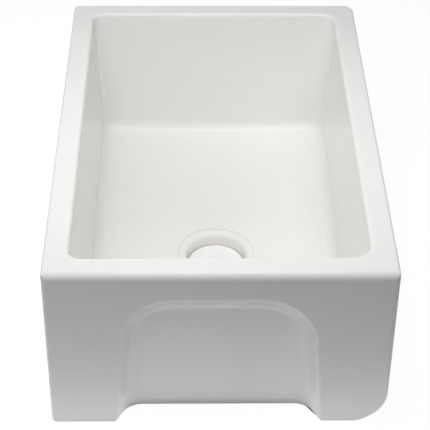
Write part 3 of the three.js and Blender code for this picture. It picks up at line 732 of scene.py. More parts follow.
def strainer_skin(drain):
    """Flange, cup, seat and outlet with the post's guide: finish 0 is enamelled, finish 1 is bare."""
    skin = Skin()
    flange = drain.hole + drain.seat_width - drain.flange_gap
    cup_outer = drain.hole - drain.cup_gap
    cup = cup_outer - drain.sheet
    lip_centre = (cup + drain.lip, FLOOR_TOP - drain.lip)
    seat_top = FLOOR_TOP - drain.cup_depth
    cone_top = seat_top - drain.foot_drop
    outlet_top = cone_top - drain.cone_drop
    outlet_end = span("strainer_body")[0]
    outlet_outer = drain.outlet + drain.outlet_wall
    ledge = cup - drain.foot_ledge
    half = drain.sheet / 2
    mouth, taper = 1 * MM, 0.1 * MM  # rounding of the outlet's mouth, and how far the bore narrows
    step = drain.thread_pitch / THREAD_STEPS
    outlet_thread = (outlet_end, outlet_top - 3 * THREAD_START)
    cup_thread = (seat_top + THREAD_START, lip_centre[1] - THREAD_START)

    def foot(radius, drop):
        turns = np.linspace(0, math.pi / 2, 9)
        ins = drain.foot_ledge * (1 - np.cos(turns))
        return list(zip(radius - ins, seat_top - drop * np.sin(turns)))

    inside = [
        *arc(half, (flange - half, FLOOR_TOP - half), 0, 90, 4),
        *arc(drain.lip, lip_centre, 90, 180, 16),
        *foot(cup, drain.foot_drop),
        (ledge, cone_top),
        *arc(mouth, (drain.outlet + taper + mouth, outlet_top - mouth), 80, 180, 5),
        (drain.outlet, outlet_end + drain.edge),
    ]
    outside = [
        (drain.outlet, outlet_end + drain.edge),
        (drain.outlet + drain.edge, outlet_end),
        (outlet_outer - drain.edge, outlet_end),
        *rows(outlet_outer, outlet_end + drain.edge, outlet_thread[1], step),
        (outlet_outer, outlet_top - drain.sheet),
        (ledge, cone_top - drain.sheet),
        *reversed(foot(cup_outer, drain.foot_drop + drain.sheet)),
        *rows(cup_outer, *cup_thread, step),
        *arc(drain.lip - drain.sheet, lip_centre, 180, 90, 12),
        *arc(half, (flange - half, FLOOR_TOP - half), -90, 0, 4),
    ]

    def threaded(turn, radius, level):
        cut = np.zeros(len(turn))
        for barrel, (low, high) in ((outlet_outer, outlet_thread), (cup_outer, cup_thread)):
            if abs(radius - barrel) < 1e-6 and low <= level <= high:
                cut = thread(turn, level, low, high, drain.thread_pitch, drain.thread_depth)
        return radius - cut

    turned(skin, inside, 128, finish=0, closed=False)
    turned(skin, outside, 128, finish=1, shape=threaded, closed=False)
    top = outlet_top - drain.hub_drop
    low = top - drain.hub_height
    bore = reach("basket_post") + 2 * drain.gap
    turned(skin, softened(washer(bore, drain.hub, low, top), 2 * drain.edge), 48, finish=1)
    for k in range(SPOKES):
        spoke = k * 2 * math.pi / SPOKES
        out = np.array((math.cos(spoke), math.sin(spoke)))
        across = np.array((-out[1], out[0]))
        half_width = drain.spoke / 2
        section, _ = outline((-half_width, low), (half_width, top), [2 * drain.edge] * 4, [[]] * 4, 4)
        ends = []
        for distance in (drain.hub - drain.sheet, drain.outlet + drain.outlet_wall / 2):
            xy = (DRAIN_X, DRAIN_Y) + out * distance + section[:, :1] * across
            ends.append(np.column_stack([xy, section[:, 1]]))
        middles = [end.mean(axis=0, keepdims=True) for end in ends]
        skin.stack([middles[0], *ends, middles[1]], finish=1)
    return skin


def lock_nut_skin(drain, waste):
    """Nut with six lugs to turn it by, threaded inside."""
    skin = Skin()
    low, top = span("lock_nut")
    inner = drain.hole - drain.cup_gap + drain.gap
    outer = reach("lock_nut") - waste.lug_reach
    edge = 1.2 * MM
    profile = [
        *rows(inner, top - THREAD_START, low + THREAD_START, drain.thread_pitch / THREAD_STEPS),
        (inner + THREAD_START, low),
        *arc(edge, (outer - edge, low + edge), -90, 0, 4),
        *arc(edge, (outer - edge, top - edge), 0, 90, 4),
        (inner + THREAD_START, top),
    ]

    def lugged(turn, radius, level):
        if radius < inner + 0.5 * MM:
            return radius + thread(turn, level, low, top, drain.thread_pitch, drain.thread_depth)
        share = np.clip((radius - inner) / (outer - inner) * 2 - 1, 0, 1)
        lugs = bumps(turn, outer, LUGS, waste.lug_width, waste.lug_flank, waste.lug_reach)
        return radius + share * lugs

    turned(skin, profile, 288, shape=lugged)
    return skin


def coupling_nut_skin(drain, waste):
    """Ribbed nut that clamps the tailpiece's flanged top to the outlet."""
    skin = Skin()
    low, top = span("coupling_nut")
    bore = waste.tailpiece + drain.gap
    inner = drain.outlet + drain.outlet_wall + drain.gap
    outer = reach("coupling_nut") - waste.coupling_rib
    lip = low + waste.coupling_lip
    foot, brow = 1.5 * MM, 1 * MM  # rounding of the lower and of the upper outer edge
    flank = 1.4 * MM  # over what width a rib rises
    profile = [
        (bore, low + drain.edge),
        (bore + drain.edge, low),
        *arc(foot, (outer - foot, low + foot), -90, 0, 5),
        *arc(brow, (outer - brow, top - brow), 0, 90, 4),
        (inner + THREAD_START, top),
        *rows(inner, top - THREAD_START, lip + THREAD_START, drain.thread_pitch / THREAD_STEPS),
        (inner, lip),
        (bore, lip),
    ]

    def ribbed(turn, radius, level):
        if abs(radius - inner) < 1e-6:
            return radius + thread(turn, level, lip, top, drain.thread_pitch, drain.thread_depth)
        if radius < outer - 1.2 * MM:
            return np.full(len(turn), radius)
        return radius + bumps(turn, outer, RIBS, waste.rib_width, flank, waste.coupling_rib)

    turned(skin, profile, 288, shape=ribbed)
    return skin


def tailpiece_profile(waste):
    """Thin tube with a flanged top and a rolled lower end."""
    low, top = span("tailpiece")
    flange = reach("tailpiece")
    inner = waste.tailpiece - waste.tailpiece_wall
    shoulder = top - waste.tailpiece_flange
    tube = [(inner, low), (waste.tailpiece, low), (waste.tailpiece, shoulder)]
    return [*tube, (flange, shoulder), (flange, top), (inner, top)]


# ---------------------------------------------------------------- waste: plug and basket

HOLE_ROWS = ((13 * MM, 8), (19 * MM, 12), (25 * MM, 16))  # radius and count of the basket's holes


def clip_skin(drain, waste):
    """Open ring of round wire that grips the post."""
    skin = Skin()
    low, top = span("spring_clip")
    wire = waste.clip_wire
    ring_radius = reach("basket_post") + drain.gap + wire
    around = np.arange(16) * 2 * math.pi / 16
    rings = []
    start, end = waste.clip_opening / 2, 2 * math.pi - waste.clip_opening / 2
    rounding = wire / ring_radius
    ends = np.linspace(0, math.pi / 2, 5)
    stations = [(start + rounding * (1 - math.sin(a)), math.sin(a)) for a in ends]
    stations += [(a, 1) for a in np.linspace(start + rounding, end - rounding, 41)[1:-1]]
    stations += [(end - rounding * (1 - math.sin(a)), math.sin(a)) for a in ends[::-1]]
    for turn, share in stations:
        radii = ring_radius + share * wire * np.cos(around)
        x, y = DRAIN_X + radii * math.cos(turn), DRAIN_Y + radii * math.sin(turn)
        ring = np.column_stack([x, y, (low + top) / 2 + share * wire * np.sin(around)])
        rings.append(ring if share > 0 else ring[:1])
    skin.stack(rings)
    return skin


def post_profile(drain):
    """Post with a rounded tip and a groove above it that the clip snaps over."""
    radius = reach("basket_post")
    tip = 0.92 * radius
    low, top = span("basket_post")
    clip_low, clip_high = span("spring_clip")
    return [
        (0, low),
        *arc(tip, (radius - tip, low + tip), -90, 0, 8),
        (radius, clip_low - drain.gap),
        (radius - drain.gap, clip_low + drain.gap),
        (radius - drain.gap, clip_high - drain.gap),
        (radius, clip_high + drain.gap),
        (radius, top),
        (0, top),
    ]


def knob_profile(waste):
    """Low pull: a neck, a thick rounded disc and a slightly dished top."""
    radius = reach("pull_knob")
    low, top = span("pull_knob")
    edge = waste.knob_edge
    neck_top = low + waste.knob_neck_height
    undercut = 0.5 * MM  # how far the disc's underside falls toward the neck
    dished = radius - 2 * edge
    dish = [(dished * share, top - waste.knob_dish * (1 - share**2)) for share in np.linspace(1, 0, 9)]
    return [
        (0, low),
        (waste.knob_neck, low),
        (waste.knob_neck, neck_top - undercut),
        *arc(edge, (radius - edge, neck_top + edge), -60, 0, 6),
        *arc(edge, (radius - edge, top - edge), 0, 90, 8),
        *dish,
    ]


def stopper_profile(drain):
    """Rubber stopper: a plug that enters the outlet and a cone that closes on its seat."""
    radius = reach("stopper_seal")
    low, top = span("stopper_seal")
    bore = reach("basket_post") + drain.gap
    plug = drain.outlet - drain.gap
    ledge = drain.hole - drain.cup_gap - drain.sheet - drain.foot_ledge
    slope = drain.cone_drop / (ledge - drain.outlet)
    return [
        (bore, low),
        (plug, low),
        (plug, low + 2 * drain.gap),
        (radius, low + 2 * drain.gap + slope * (radius - drain.outlet)),
        (radius, top),
        (bore, top),
    ]


def grooved(profile, waste, top):
    """The stopper's profile with shallow grooves round its top."""
    outer, inner = profile[-2][0], profile[-1][0]
    mouth, foot = 1.2 * MM, 0.5 * MM  # half a groove's width at its top and at its bottom
    bottom = top - waste.groove
    grooves = []
    for middle in np.linspace(outer, inner, 6)[1:-1]:
        grooves += [(middle + mouth, top), (middle + foot, bottom)]
        grooves += [(middle - foot, bottom), (middle - mouth, top)]
    return [*profile[:-1], *grooves, profile[-1]]


def stopper_nut_skin(drain):
    """Six-sided nut with turned-down corners."""
    skin = Skin()
    low, top = span("stopper_nut")
    bore = reach("basket_post") + drain.gap
    nut_low, nut_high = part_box("stopper_nut")
    corner = max(nut_high.x - nut_low.x, nut_high.y - nut_low.y) / 2
    flat = corner * math.cos(math.pi / 6)
    bevel = 0.5 * MM
    first = 0 if reach("stopper_nut") >= corner - 1e-6 else math.pi / 6

    def hexagon(turn, radius, level):
        if radius < flat - bevel:
            return np.full(len(turn), radius)
        side = (turn - first) % (math.pi / 3) - math.pi / 6
        most = corner - max(bevel - min(level - low, top - level), 0)
        return np.minimum(flat / np.cos(side), most)

    profile = [(bore, low), (flat, low), *rows(corner, low + bevel / 3, top - bevel / 3, bevel / 2)]
    turned(skin, [*profile, (flat, top), (bore, top)], 144, shape=hexagon)
    return skin


def basket_profile(drain, waste):
    """Pressed basket: flat floor, flared wall and a rim turned out."""
    low, top = span("basket_bowl")
    bore = reach("basket_post") + drain.gap
    rim = reach("basket_bowl")
    neck = rim - waste.basket_rim
    sheet, corner = waste.sheet, waste.basket_corner
    centre = (waste.basket_floor, low + corner)
    bend = 0.6 * MM  # half the width of the bend between wall and rim
    edge = 0.3 * MM  # rounding of the rim's edge
    return [
        (bore, low),
        *arc(corner, centre, -90, 0, 8),
        (neck - bend, top - sheet - 2 * bend),
        (neck + bend, top - sheet),
        (rim - edge, top - sheet),
        (rim, top - sheet / 2),
        (rim - edge, top),
        (neck + bend - sheet, top),
        (neck - bend - sheet, top - 2 * bend),
        *arc(corner - sheet, centre, 0, -90, 8),
        (bore, low + sheet),
    ]


def perforated(piece, waste):
    """The basket with its three rows of holes cut through the floor."""
    cutters = Skin()
    low = span("basket_bowl")[0]
    for radius, count in HOLE_ROWS:
        for k in range(count):
            turn = 2 * math.pi * k / count
            centre = (DRAIN_X + radius * math.cos(turn), DRAIN_Y + radius * math.sin(turn))
            pin = washer(0, waste.basket_hole, low - 2 * waste.sheet, low + 3 * waste.sheet)
            turned(cutters, pin, 20, centre=centre)
    cutter = cutters.piece("basket_holes", [])
    cut = piece.modifiers.new("holes", "BOOLEAN")
    cut.operation, cut.solver, cut.object = "DIFFERENCE", "EXACT", cutter
    holed = bpy.data.meshes.new_from_object(piece.evaluated_get(bpy.context.evaluated_depsgraph_get()))
    piece.modifiers.clear()
    plain, piece.data = piece.data, holed
    bpy.data.objects.remove(cutter)
    bpy.data.meshes.remove(plain)
    holed.shade_smooth()
    holed.set_sharp_from_angle(angle=CREASE)
    return piece


def cover_profile(drain, waste):
    """Flat cover with a rebated edge, and the sleeve that stands it on the basket's floor."""
    low, top = span("basket_cap")
    bore = reach("basket_post") + drain.gap
    sleeve = bore + waste.sleeve
    radius = reach("basket_cap")
    under = top - waste.cover
    rebate = top - waste.ring_height - drain.gap
    bevel = 1 * MM  # between sleeve and cover
    return [
        (bore, low),
        (sleeve, low),
        (sleeve, under - bevel),
        (sleeve + bevel, under),
        (radius - waste.ring_width, under),
        (radius - waste.ring_width, rebate),
        (radius, rebate),
        (radius, top - waste.cover_edge),
        *arc(waste.cover_edge, (radius - waste.cover_edge, top - waste.cover_edge), 15, 90, 5),
        (bore, top),
    ]


def cap_ring_profile(drain, waste):
    """Soft ring in the cover's rebate."""
    low, top = span("cap_ring")
    cover = reach("basket_cap")
    inner = cover - waste.ring_width + drain.gap
    rebate = span("basket_cap")[1] - waste.ring_height - 2 * drain.gap
    outer = drain.hole - drain.cup_gap - drain.sheet - drain.gap
    step = cover + drain.gap
    return [(inner, low), (outer, low), (outer, top), (step, top), (step, rebate), (inner, rebate)]


# ---------------------------------------------------------------- materials


COLOUR_MIX = {"data_type": "RGBA"}
FIRST, SECOND, MIXED = 6, 7, 2  # the two colours that go into such a Mix node, and what comes out


def add_node(tree, kind, inputs=None, settings=None, out=0, to=None):
    """Adds a node with its settings and links, and gives the socket that comes out of it."""
    node = tree.nodes.new(kind)
    for name, value in (settings or {}).items():
        setattr(node, name, value)
    for name, value in (inputs or {}).items():
        if isinstance(value, bpy.types.NodeSocket):
            tree.links.new(value, node.inputs[name])
        else:
            node.inputs[name].default_value = value
    if to is not None:
        tree.links.new(node.outputs[out], to)
    return node.outputs[out]


def start_material(name, **values):
    """A material whose shader has these uniform values; gives it, its tree, shader and place."""
    material = bpy.data.materials.new(name)
    material.use_nodes = True
    tree = material.node_tree
    shader = tree.nodes["Principled BSDF"]
    for socket, value in values.items():
        shader.inputs[socket.replace("_", " ")].default_value = value
    return material, tree, shader, add_node(tree, "ShaderNodeTexCoord", out="Object")


def shade(colour, share):
    """A colour made darker."""
    return (*[c * share for c in colour[:3]], 1.0)


def clouded(name, colour, dark, clouds, gloss=None, relief=None, height=0.0, **values):
    """A material whose tone drifts in soft clouds, and its gloss with it, over a fine relief.

    clouds and relief are the inputs of their noise, gloss is the least and the greatest roughness."""
    material, tree, shader, place = start_material(name, **values)
    cloud = add_node(tree, "ShaderNodeTexNoise", {"Vector": place, **clouds})
    tones = {"Factor": cloud, FIRST: colour, SECOND: shade(colour, dark)}
    add_node(tree, "ShaderNodeMix", tones, COLOUR_MIX, MIXED, shader.inputs["Base Color"])
    if gloss:
        spread = {"Value": cloud, "To Min": gloss[0], "To Max": gloss[1]}
        add_node(tree, "ShaderNodeMapRange", spread, to=shader.inputs["Roughness"])
    if relief:
        grain = add_node(tree, "ShaderNodeTexNoise", {"Vector": place, **relief})
        raised = {"Height": grain, "Distance": height}
        add_node(tree, "ShaderNodeBump", raised, to=shader.inputs["Normal"])
    return material


def glazed_fireclay(looks):
    """Glaze fired on fireclay: a hard wet gloss with a slow ripple, where the glaze ran and pooled."""
    material, tree, shader, place = start_material("glazed_fireclay", Metallic=0.0, IOR=1.5)
    cloud = add_node(tree, "ShaderNodeTexNoise", {"Vector": place, "Scale": 1 / (90 * MM)})
    tones = {"Factor": cloud, FIRST: looks.glaze, SECOND: shade(looks.glaze, 0.98)}
    add_node(tree, "ShaderNodeMix", tones, COLOUR_MIX, MIXED, shader.inputs["Base Color"])
    smear = add_node(tree, "ShaderNodeTexNoise", {"Vector": place, "Scale": 1 / (35 * MM)})
    gloss = looks.glaze_roughness
    spread = {"Value": smear, "From Min": 0.3, "From Max": 0.7, "To Min": 0.8 * gloss, "To Max": 1.2 * gloss}
    add_node(tree, "ShaderNodeMapRange", spread, to=shader.inputs["Roughness"])
    ripple = add_node(tree, "ShaderNodeTexNoise", {"Vector": place, "Scale": 1 / (60 * MM), "Detail": 1.0})
    run = add_node(tree, "ShaderNodeBump", {"Height": ripple, "Distance": 0.15 * MM})
    peel = add_node(tree, "ShaderNodeTexNoise", {"Vector": place, "Scale": 1 / (6 * MM), "Detail": 1.0})
    fine = {"Height": peel, "Distance": 0.006 * MM, "Normal": run}
    add_node(tree, "ShaderNodeBump", fine, to=shader.inputs["Normal"])
    return material


def bisque_fireclay(looks):
    """Bare fired clay, where the sink stood in the kiln: buff, dry and gritty."""
    return clouded(
        "bisque_fireclay",
        looks.bisque,
        0.72,
        {"Scale": 1 / (22 * MM), "Detail": 5.0, "Roughness": 0.6},
        relief={"Scale": 1 / (1.5 * MM), "Detail": 3.0},
        height=0.2 * MM,
        Metallic=0.0,
        IOR=1.45,
        Roughness=0.85,
    )


def vitreous_enamel(colour):
    """White glass enamel fired on pressed steel: smooth gloss with a faint peel."""
    return clouded(
        "vitreous_enamel",
        colour,
        0.985,
        {"Scale": 1 / (30 * MM)},
        relief={"Scale": 1 / (2.5 * MM), "Detail": 1.0},
        height=0.01 * MM,
        Metallic=0.0,
        IOR=1.52,
        Roughness=0.12,
    )


def moulded_silicone(looks):
    """Tan silicone from a satin mould: soft sheen, a little light inside."""
    return clouded(
        "moulded_silicone",
        looks.silicone,
        0.93,
        {"Scale": 1 / (12 * MM)},
        gloss=(0.42, 0.56),
        relief={"Scale": 1 / (0.8 * MM)},
        height=0.03 * MM,
        Metallic=0.0,
        IOR=1.41,
        Subsurface_Weight=0.12,
        Subsurface_Scale=2 * MM,
    )


def moulded_rubber(looks):
    """Black-grey moulded rubber: dull, with a dusty bloom."""
    return clouded(
        "moulded_rubber",
        looks.rubber,
        0.7,
        {"Scale": 1 / (9 * MM), "Detail": 4.0, "Roughness": 0.6},
        gloss=(0.62, 0.85),
        relief={"Scale": 1 / (0.6 * MM)},
        height=0.05 * MM,
        Metallic=0.0,
        IOR=1.5,
    )


def pressed_fibre(looks):
    """Pressed fibre board: brown and dry, with short fibres lying flat."""
    material, tree, shader, place = start_material("pressed_fibre", Metallic=0.0, IOR=1.45, Roughness=0.9)
    lying = add_node(tree, "ShaderNodeMapping", {"Vector": place, "Scale": (1.0, 0.25, 1.0)})
    fibres = {"Vector": lying, "Scale": 1 / (1.2 * MM), "Detail": 4.0}
    fleck = add_node(tree, "ShaderNodeTexNoise", fibres)
    tones = {"Factor": fleck, FIRST: looks.fibre, SECOND: shade(looks.fibre, 0.6)}
    add_node(tree, "ShaderNodeMix", tones, COLOUR_MIX, MIXED, shader.inputs["Base Color"])
    add_node(tree, "ShaderNodeBump", {"Height": fleck, "Distance": 0.1 * MM}, to=shader.inputs["Normal"])
    return material


def die_cast_zinc(looks):
    """Zinc from a die, unpolished: a grey metal with a soft orange peel and duller patches."""
    return clouded(
        "die_cast_zinc",
        looks.casting,
        0.82,
        {"Scale": 1 / (7 * MM), "Detail": 3.0},
        gloss=(0.36, 0.54),
        relief={"Scale": 1 / (1.4 * MM)},
        height=0.06 * MM,
        Metallic=1.0,
    )


def turned_steel(looks):
    """Stainless steel finished on a lathe: fine rings round the axis, drawn coarse enough to show."""
    material, tree, shader, place = start_material("turned_steel", Metallic=1.0)
    pitch = 0.5 * MM  # the real tool marks are about a tenth of this
    centred = add_node(tree, "ShaderNodeMapping", {"Vector": place, "Location": (-DRAIN_X, -DRAIN_Y, 0.0)})
    settings = {"wave_type": "RINGS", "rings_direction": "Z"}
    lines = {"Vector": centred, "Scale": 2 * math.pi / (20 * pitch), "Distortion": 0.6, "Detail": 2.0}
    marks = add_node(tree, "ShaderNodeTexWave", lines, settings, "Fac")
    tones = {"Factor": marks, FIRST: looks.steel, SECOND: shade(looks.steel, 0.9)}
    add_node(tree, "ShaderNodeMix", tones, COLOUR_MIX, MIXED, shader.inputs["Base Color"])
    spread = {"Value": marks, "To Min": 0.2, "To Max": 0.32}
    add_node(tree, "ShaderNodeMapRange", spread, to=shader.inputs["Roughness"])
    add_node(tree, "ShaderNodeBump", {"Height": marks, "Distance": 0.004 * MM}, to=shader.inputs["Normal"])
    return material


def chromed_brass(looks):
    """Bright chrome plated on drawn brass: a mirror with faint water smears."""
    material, tree, shader, place = start_material("chromed_brass", Metallic=1.0)
    smear = add_node(tree, "ShaderNodeTexNoise", {"Vector": place, "Scale": 1 / (16 * MM), "Detail": 3.0})
    tones = {"Factor": smear, FIRST: looks.chrome, SECOND: shade(looks.chrome, 0.95)}
    add_node(tree, "ShaderNodeMix", tones, COLOUR_MIX, MIXED, shader.inputs["Base Color"])
    spread = {"Value": smear, "From Min": 0.35, "From Max": 0.65, "To Min": 0.05, "To Max": 0.14}
    add_node(tree, "ShaderNodeMapRange", spread, to=shader.inputs["Roughness"])
    return material


def moulded_polythene(looks):
    """Milky moulded polythene: waxy, with light in its edges."""
    return clouded(
        "moulded_polythene",
        looks.polythene,
        0.96,
        {"Scale": 1 / (10 * MM)},
        gloss=(0.35, 0.48),
        Metallic=0.0,
        IOR=1.51,
        Subsurface_Weight=0.25,
        Subsurface_Scale=2 * MM,
    )


def shown_rays(tree):
    """One for rays that come straight from the camera, from gloss or through glass, and else nought."""
    ray = add_node(tree, "ShaderNodeLightPath").node.outputs
    either = {0: ray["Is Camera Ray"], 1: ray["Is Glossy Ray"]}
    largest = {"operation": "MAXIMUM"}
    both = {0: add_node(tree, "ShaderNodeMath", either, largest), 1: ray["Is Transmission Ray"]}
    return add_node(tree, "ShaderNodeMath", both, largest)


def studio_floor(looks):
    """Plain pale floor: white to the eye, with the object's shadow on it."""
    material = bpy.data.materials.new("studio_floor")
    material.use_nodes = True
    tree = material.node_tree
    tree.nodes.remove(tree.nodes["Principled BSDF"])
    bounce, shadow = ((share, share, share, 1.0) for share in (looks.floor_bounce, looks.floor_shadow))
    lit = add_node(tree, "ShaderNodeBsdfDiffuse", {"Color": bounce})
    shaded = add_node(tree, "ShaderNodeBsdfDiffuse", {"Color": shadow})
    white = add_node(tree, "ShaderNodeEmission", {"Strength": looks.floor_white})
    shown = add_node(tree, "ShaderNodeAddShader", {0: shaded, 1: white})
    choice = {"Fac": shown_rays(tree), 1: lit, 2: shown}
    add_node(tree, "ShaderNodeMixShader", choice, to=tree.nodes["Material Output"].inputs["Surface"])
    return material


# ---------------------------------------------------------------- stage

LAMPS = {
    # name: place, target, width and depth in metres, watts, whether the gloss shows it
    "canopy": ((0, -0.02, 1.0), (0, -0.02, 0), 0.9, 0.6, 2.8, False),
    "back": ((0, -0.3, 1.0), (0, 0.3, 0.1), 0.9, 0.4, 2, False),
    "box": ((0.03, -0.2, 1.2), (0.03, -0.2, 0), 0.45, 0.25, 1.3, True),
    "front": ((0, -1.6, 2.2), (0, 0, 0.1), 2.2, 1.2, 10.8, False),
    "front_left": ((-0.7, -0.9, 0.5), (0, -0.35, 0.1), 0.6, 0.4, 0.5, False),
    "left": ((-0.9, 0, 1.1), (0, 0, 0.1), 1.0, 0.8, 3.1, False),
    "foot": ((0, -0.4, 0.003), (0, -0.4, 1), 0.8, 0.14, 0.19, False),
    "rear": ((-0.5, 2.2, 0.36), (-0.1, 0.3, 0.1), 1.8, 0.6, 8, False),
}

CAMERA_PLACE = (-37.8, -1726.3, 1407.8)  # mm
CAMERA_TURN = (-37.354, -0.629, -1.21)  # degrees down, roll and pan from a level look along +Y


def make_world(looks):
    """White all round to the eye, and a dimmer light on the object."""
    world = bpy.data.worlds.new("studio")
    bpy.context.scene.world = world
    world.use_nodes = True
    tree = world.node_tree
    backdrop = tree.nodes["Background"]
    backdrop.inputs["Color"].default_value = (1.0, 1.0, 1.0, 1.0)
    spread = {"Value": shown_rays(tree), "To Min": looks.ambient, "To Max": 1.0}
    add_node(tree, "ShaderNodeMapRange", spread, to=backdrop.inputs["Strength"])


def make_lamp(name, place, target, width, depth, watts, glossy):
    """A soft rectangular lamp that faces a point; the camera sees it only in gloss, and only if told."""
    light = bpy.data.lights.new(name, "AREA")
    light.shape = "RECTANGLE"
    light.size, light.size_y, light.energy = width, depth, watts
    lamp = bpy.data.objects.new(name, light)
    lamp.visible_camera = False
    lamp.visible_glossy = glossy
    bpy.context.scene.collection.objects.link(lamp)
    facing = (Vector(target) - Vector(place)).to_track_quat("-Z", "Y")
    lamp.matrix_world = Matrix.Translation(place) @ facing.to_matrix().to_4x4()


def make_camera(looks):
    """Camera at the photograph's angle: it looks down on the sink from the front."""
    camera = bpy.data.objects.new("camera", bpy.data.cameras.new("camera"))
    bpy.context.scene.collection.objects.link(camera)
    camera.data.sensor_width = 36
    camera.data.lens = looks.lens
    down, roll, pan = (math.radians(degrees) for degrees in CAMERA_TURN)
    turn = Matrix.Rotation(pan, 4, "Z") @ Matrix.Rotation(down, 4, "X") @ Matrix.Rotation(roll, 4, "Y")
    level = Matrix.Rotation(math.pi / 2, 4, "X")
    camera.matrix_world = Matrix.Translation(Vector(CAMERA_PLACE) * MM) @ turn @ level
    bpy.context.scene.camera = camera


def make_floor(looks):
    """Floor that the foot stands on, with a hole for the waste, which hangs below it."""
    turn = np.arange(96) * 2 * math.pi / 96
    circle = np.stack([np.cos(turn), np.sin(turn)], axis=1)
    level = BODY_LOW.z - looks.floor_drop
    near = at_level((DRAIN_X, DRAIN_Y) + looks.floor_hole * circle, level)
    far = at_level(looks.floor_radius * circle, level)
    skin = Skin()
    skin.stack([near, far])
    skin.piece("studio_floor", [studio_floor(looks)])


# ---------------------------------------------------------------- operators


def waste_settings(context):
    """Looks of the finishes, and sizes of the drain and of the waste."""
    scene = context.scene
    return scene.sink_finish, scene.sink_drain, scene.sink_waste


class SINK_OT_stage(bpy.types.Operator):
    """Make the camera, the floor, the backdrop and the lamps"""

    bl_idname = "sink.stage"
    bl_label = "Stage"

    def execute(self, context):
        context.scene.view_settings.view_transform = "Standard"
        looks = context.scene.sink_stage
        make_camera(looks)
        make_floor(looks)
        make_world(looks)
        for name, lamp in LAMPS.items():
            make_lamp(name, *lamp)
        return {"FINISHED"}


class SINK_OT_body(bpy.types.Operator):
    """Make the glazed fireclay body"""

    bl_idname = "sink.body"
    bl_label = "Fireclay Body"

    def execute(self, context):
        scene = context.scene
        looks = scene.sink_finish
        skin = body_skin(scene.sink_block, scene.sink_bowl, scene.sink_arch, scene.sink_drain)
        piece = skin.piece("fireclay_body", [glazed_fireclay(looks), bisque_fireclay(looks)])
        settled(piece, "sink", "fireclay", "sink_body")
        return {"FINISHED"}


class SINK_OT_strainer(bpy.types.Operator):
    """Make the strainer and the soft ring under its flange"""

    bl_idname = "sink.strainer"
    bl_label = "Strainer"

    def execute(self, context):
        looks, drain, _ = waste_settings(context)
        materials = [vitreous_enamel(looks.enamel), turned_steel(looks)]
        piece = strainer_skin(drain).piece("strainer", materials)
        settled(piece, "sink", "white_enamel", "strainer_body")
        inner = drain.hole + drain.lip - drain.gap
        seal = softened(washer(inner, reach("flange_seal"), *span("flange_seal")), drain.edge)
        piece = turned_piece("flange_bedding", seal, moulded_silicone(looks))
        settled(piece, "sink", "tan_silicone", "flange_seal")
        return {"FINISHED"}


class SINK_OT_fixing(bpy.types.Operator):
    """Make the gasket, the friction ring and the lock nut under the floor"""

    bl_idname = "sink.fixing"
    bl_label = "Fixing"

    def execute(self, context):
        looks, drain, waste = waste_settings(context)
        inner = drain.hole - drain.cup_gap + drain.gap
        for node, slot, material in (
            ("underside_gasket", "grey_rubber", moulded_rubber(looks)),
            ("friction_ring", "fibre_board", pressed_fibre(looks)),
        ):
            ring = softened(washer(inner, reach(node), *span(node)), drain.edge)
            settled(turned_piece(node + "_skin", ring, material), "sink", slot, node)
        piece = lock_nut_skin(drain, waste).piece("lugged_nut", [die_cast_zinc(looks)])
        settled(piece, "sink", "cast_nut", "lock_nut")
        return {"FINISHED"}


class SINK_OT_tail(bpy.types.Operator):
    """Make the tailpiece, its washer and its coupling nut"""

    bl_idname = "sink.tail"
    bl_label = "Tailpiece"

    def execute(self, context):
        looks, drain, waste = waste_settings(context)
        chrome = chromed_brass(looks)
        ring = washer(drain.outlet, reach("tailpiece_washer"), *span("tailpiece_washer"))
        piece = turned_piece("outlet_washer", softened(ring, drain.edge), moulded_polythene(looks), 96)
        settled(piece, "sink", "white_plastic", "tailpiece_washer")
        piece = coupling_nut_skin(drain, waste).piece("ribbed_nut", [chrome])
        settled(piece, "sink", "chromed_brass", "coupling_nut")
        piece = turned_piece("tail_tube", softened(tailpiece_profile(waste), drain.edge), chrome)
        settled(piece, "sink", "chromed_brass", "tailpiece")
        return {"FINISHED"}


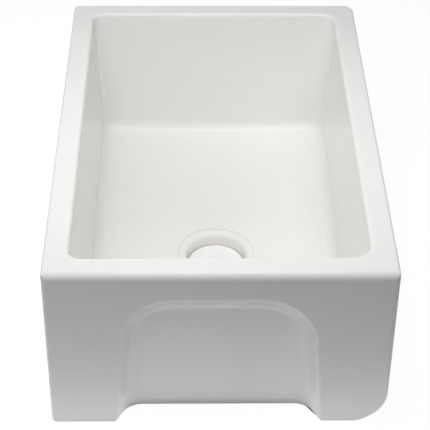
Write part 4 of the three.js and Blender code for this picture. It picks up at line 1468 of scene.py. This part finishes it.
class SINK_OT_plug(bpy.types.Operator):
    """Make the post with its clip, pull, stopper and nut"""

    bl_idname = "sink.plug"
    bl_label = "Plug"

    def execute(self, context):
        looks, drain, waste = waste_settings(context)
        steel = turned_steel(looks)
        piece = clip_skin(drain, waste).piece("wire_clip", [steel])
        settled(piece, "sink", "stainless", "spring_clip")
        piece = turned_piece("post", post_profile(drain), steel, 48)
        settled(piece, "plug", "stainless", "basket_post")
        piece = turned_piece("low_pull", knob_profile(waste), vitreous_enamel(looks.cover), 72)
        settled(piece, "plug", "white_enamel", "pull_knob")
        stopper = grooved(stopper_profile(drain), waste, span("stopper_seal")[1])
        piece = turned_piece("rubber_stopper", softened(stopper, drain.edge, 2), moulded_rubber(looks))
        settled(piece, "plug", "grey_rubber", "stopper_seal")
        piece = stopper_nut_skin(drain).piece("hexagon_nut", [steel])
        settled(piece, "plug", "stainless", "stopper_nut")
        return {"FINISHED"}


class SINK_OT_basket(bpy.types.Operator):
    """Make the perforated basket, its cover and the soft ring round the cover"""

    bl_idname = "sink.basket"
    bl_label = "Basket"

    def execute(self, context):
        looks, drain, waste = waste_settings(context)
        plain = turned_piece("perforated_basket", basket_profile(drain, waste), turned_steel(looks))
        settled(perforated(plain, waste), "basket", "stainless", "basket_bowl")
        enamel = vitreous_enamel(looks.cover)
        piece = turned_piece("basket_cover", cover_profile(drain, waste), enamel)
        settled(piece, "basket", "white_enamel", "basket_cap")
        ring = softened(cap_ring_profile(drain, waste), drain.edge, 2)
        piece = turned_piece("cover_ring", ring, moulded_silicone(looks))
        settled(piece, "basket", "tan_silicone", "cap_ring")
        return {"FINISHED"}


OPERATORS = (
    SINK_OT_stage,
    SINK_OT_body,
    SINK_OT_strainer,
    SINK_OT_fixing,
    SINK_OT_tail,
    SINK_OT_plug,
    SINK_OT_basket,
)


class SINK_PT_panel(bpy.types.Panel):
    """Buttons that make the sink's pieces"""

    bl_idname = "SINK_PT_panel"
    bl_label = "Apron Front Sink"
    bl_space_type = "VIEW_3D"
    bl_region_type = "UI"
    bl_category = "Sink"

    def draw(self, context):
        for operator in OPERATORS:
            self.layout.operator(operator.bl_idname)


CLASSES = (*PROPERTY_GROUPS.values(), *OPERATORS, SINK_PT_panel)


def register():
    for cls in CLASSES:
        bpy.utils.register_class(cls)
    for name, group in PROPERTY_GROUPS.items():
        setattr(bpy.types.Scene, name, bpy.props.PointerProperty(type=group))


def unregister():
    for name in PROPERTY_GROUPS:
        delattr(bpy.types.Scene, name)
    for cls in reversed(CLASSES):
        bpy.utils.unregister_class(cls)


def main():
    """Makes every piece and the stage."""
    register()
    bpy.ops.sink.stage()
    bpy.ops.sink.body()
    bpy.ops.sink.strainer()
    bpy.ops.sink.fixing()
    bpy.ops.sink.tail()
    bpy.ops.sink.plug()
    bpy.ops.sink.basket()


if __name__ == "__main__":
    main()
